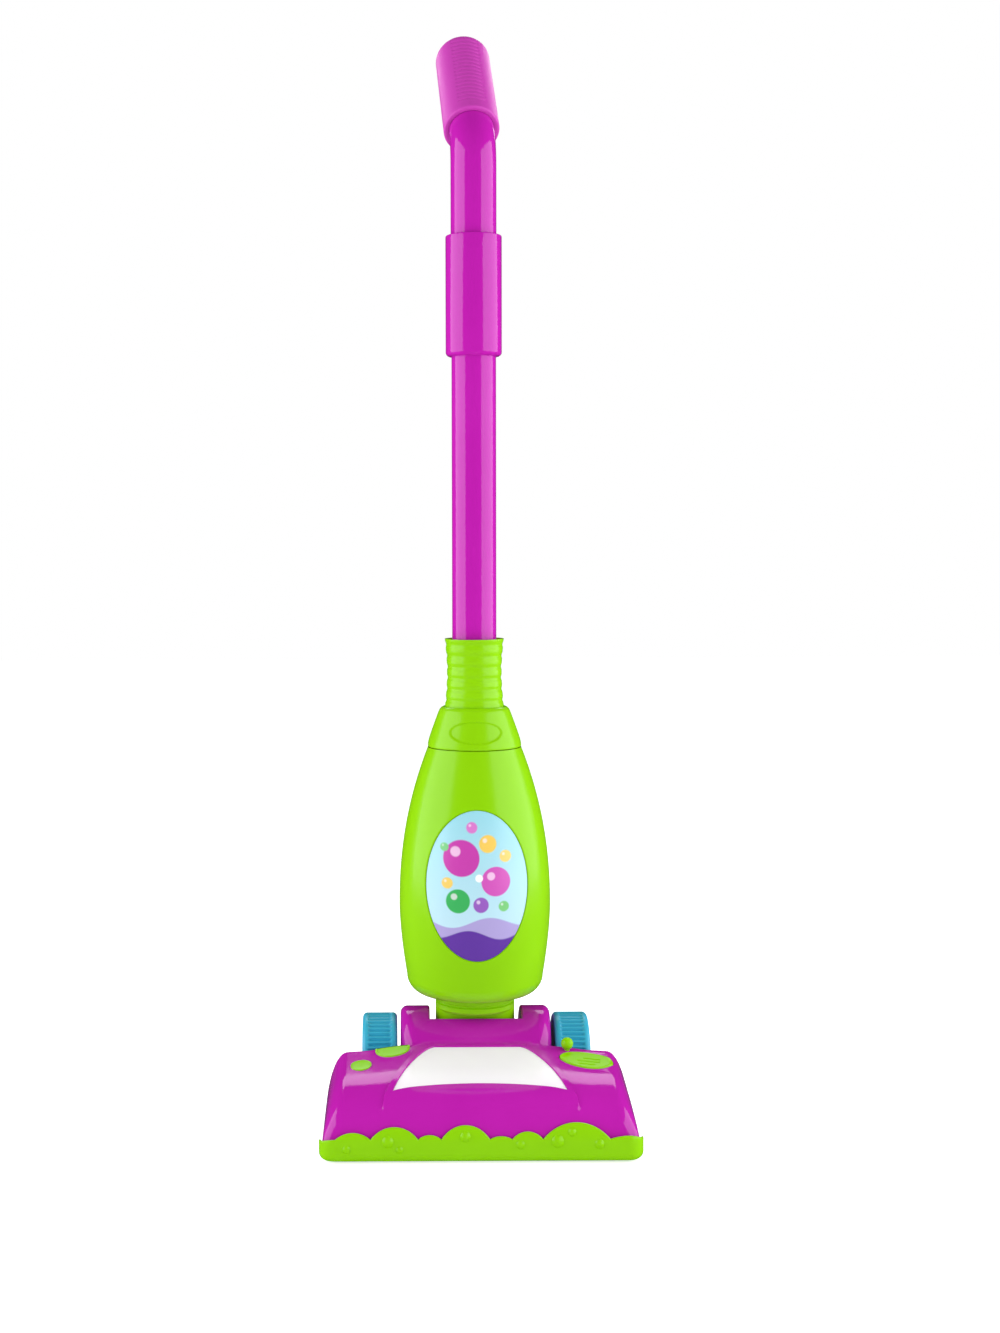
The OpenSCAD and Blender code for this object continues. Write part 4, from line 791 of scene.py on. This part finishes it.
top_turn = np.linspace(0, np.pi / 2, 10)
grip_line = np.concatenate([
    [[upper_r + 0.05, 1.5], [upper_r + 0.1, 0.3], [grip_r - 1.2, 0.0], [grip_r - 0.35, 0.3], [grip_r, 1.2]],
    np.stack([np.full(260, grip_r), np.linspace(1.5, grip_l - grip_round, 260)], -1),
    np.stack([grip_r - grip_round + grip_round * np.cos(top_turn),
              grip_l - grip_round + grip_round * np.sin(top_turn)], -1)[1:], [[0.02, grip_l]]])
grip_points = revolved(grip_line, 144)
x, y, z = np.moveaxis(grip_points, -1, 0)
groove_z, groove_pitch, groove_deep, groove_hw, groove_soft = 8.5, 3.8, 0.6, 8.2, 0.8
band_low, band_high, band_soft = 7.5, 70.5, 0.5
grooves = np.clip(1.6 * np.cos(2 * np.pi * (z - groove_z) / groove_pitch) - 0.6, 0, 1)
band = np.clip((z - band_low) / band_soft, 0, 1) * np.clip((band_high - z) / band_soft, 0, 1)
band *= np.clip((groove_hw - np.abs(x)) / groove_soft, 0, 1) * (y < 0)
y = y + groove_deep * grooves * band
grip_points = np.stack([x, bend_end[0] + y * np.cos(grip_lean) + z * np.sin(grip_lean),
                        bend_z + bend_end[1] - y * np.sin(grip_lean) + z * np.cos(grip_lean)], -1)
grip = turned_mesh("grip_sleeve", handle_frame(grip_points), 60.0)
satin = moulded_plastic("magenta_satin", srgb(192, 54, 172), srgb(204, 64, 184), 0.42, 0.06, 1600.0)
grip.data.materials.append(satin)
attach(grip, "upright")
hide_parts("grip")

# Pieces that keep their CAD shape: the neck in the yoke, the sole and the battery door in green plastic,
# the axle, screws, spring and contacts in steel, and what lies inside the head: switch, speaker, board,
# lamps and cells.
steel = moulded_plastic("bare_steel", srgb(176, 178, 182), srgb(200, 202, 205), 0.3, 0.05, 500.0)
steel.node_tree.nodes["Principled BSDF"].inputs["Metallic"].default_value = 1.0
dark = moulded_plastic("dark_moulding", srgb(38, 38, 42), srgb(52, 52, 56), 0.5)
board = moulded_plastic("board_lacquer", srgb(20, 84, 48), srgb(34, 110, 62), 0.35)
lamp_clear = moulded_plastic("lamp_epoxy", srgb(250, 246, 224), srgb(255, 252, 236), 0.15)
cell = moulded_plastic("cell_wrapper", srgb(190, 150, 50), srgb(214, 176, 76), 0.3)
cell.node_tree.nodes["Principled BSDF"].inputs["Metallic"].default_value = 0.7
for finish, names in (
        (green, ("pivot_neck", "sole_plate", "battery_door")),
        (steel, ("axle", "battery_screw", "head_screws", "body_screws", "button_spring", "battery_contacts")),
        (dark, ("push_switch", "speaker")), (board, ("circuit_board",)), (lamp_clear, ("leds",)),
        (cell, ("battery_cells",))):
    for name in names:
        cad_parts[name].data.materials.clear()
        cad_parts[name].data.materials.append(finish)
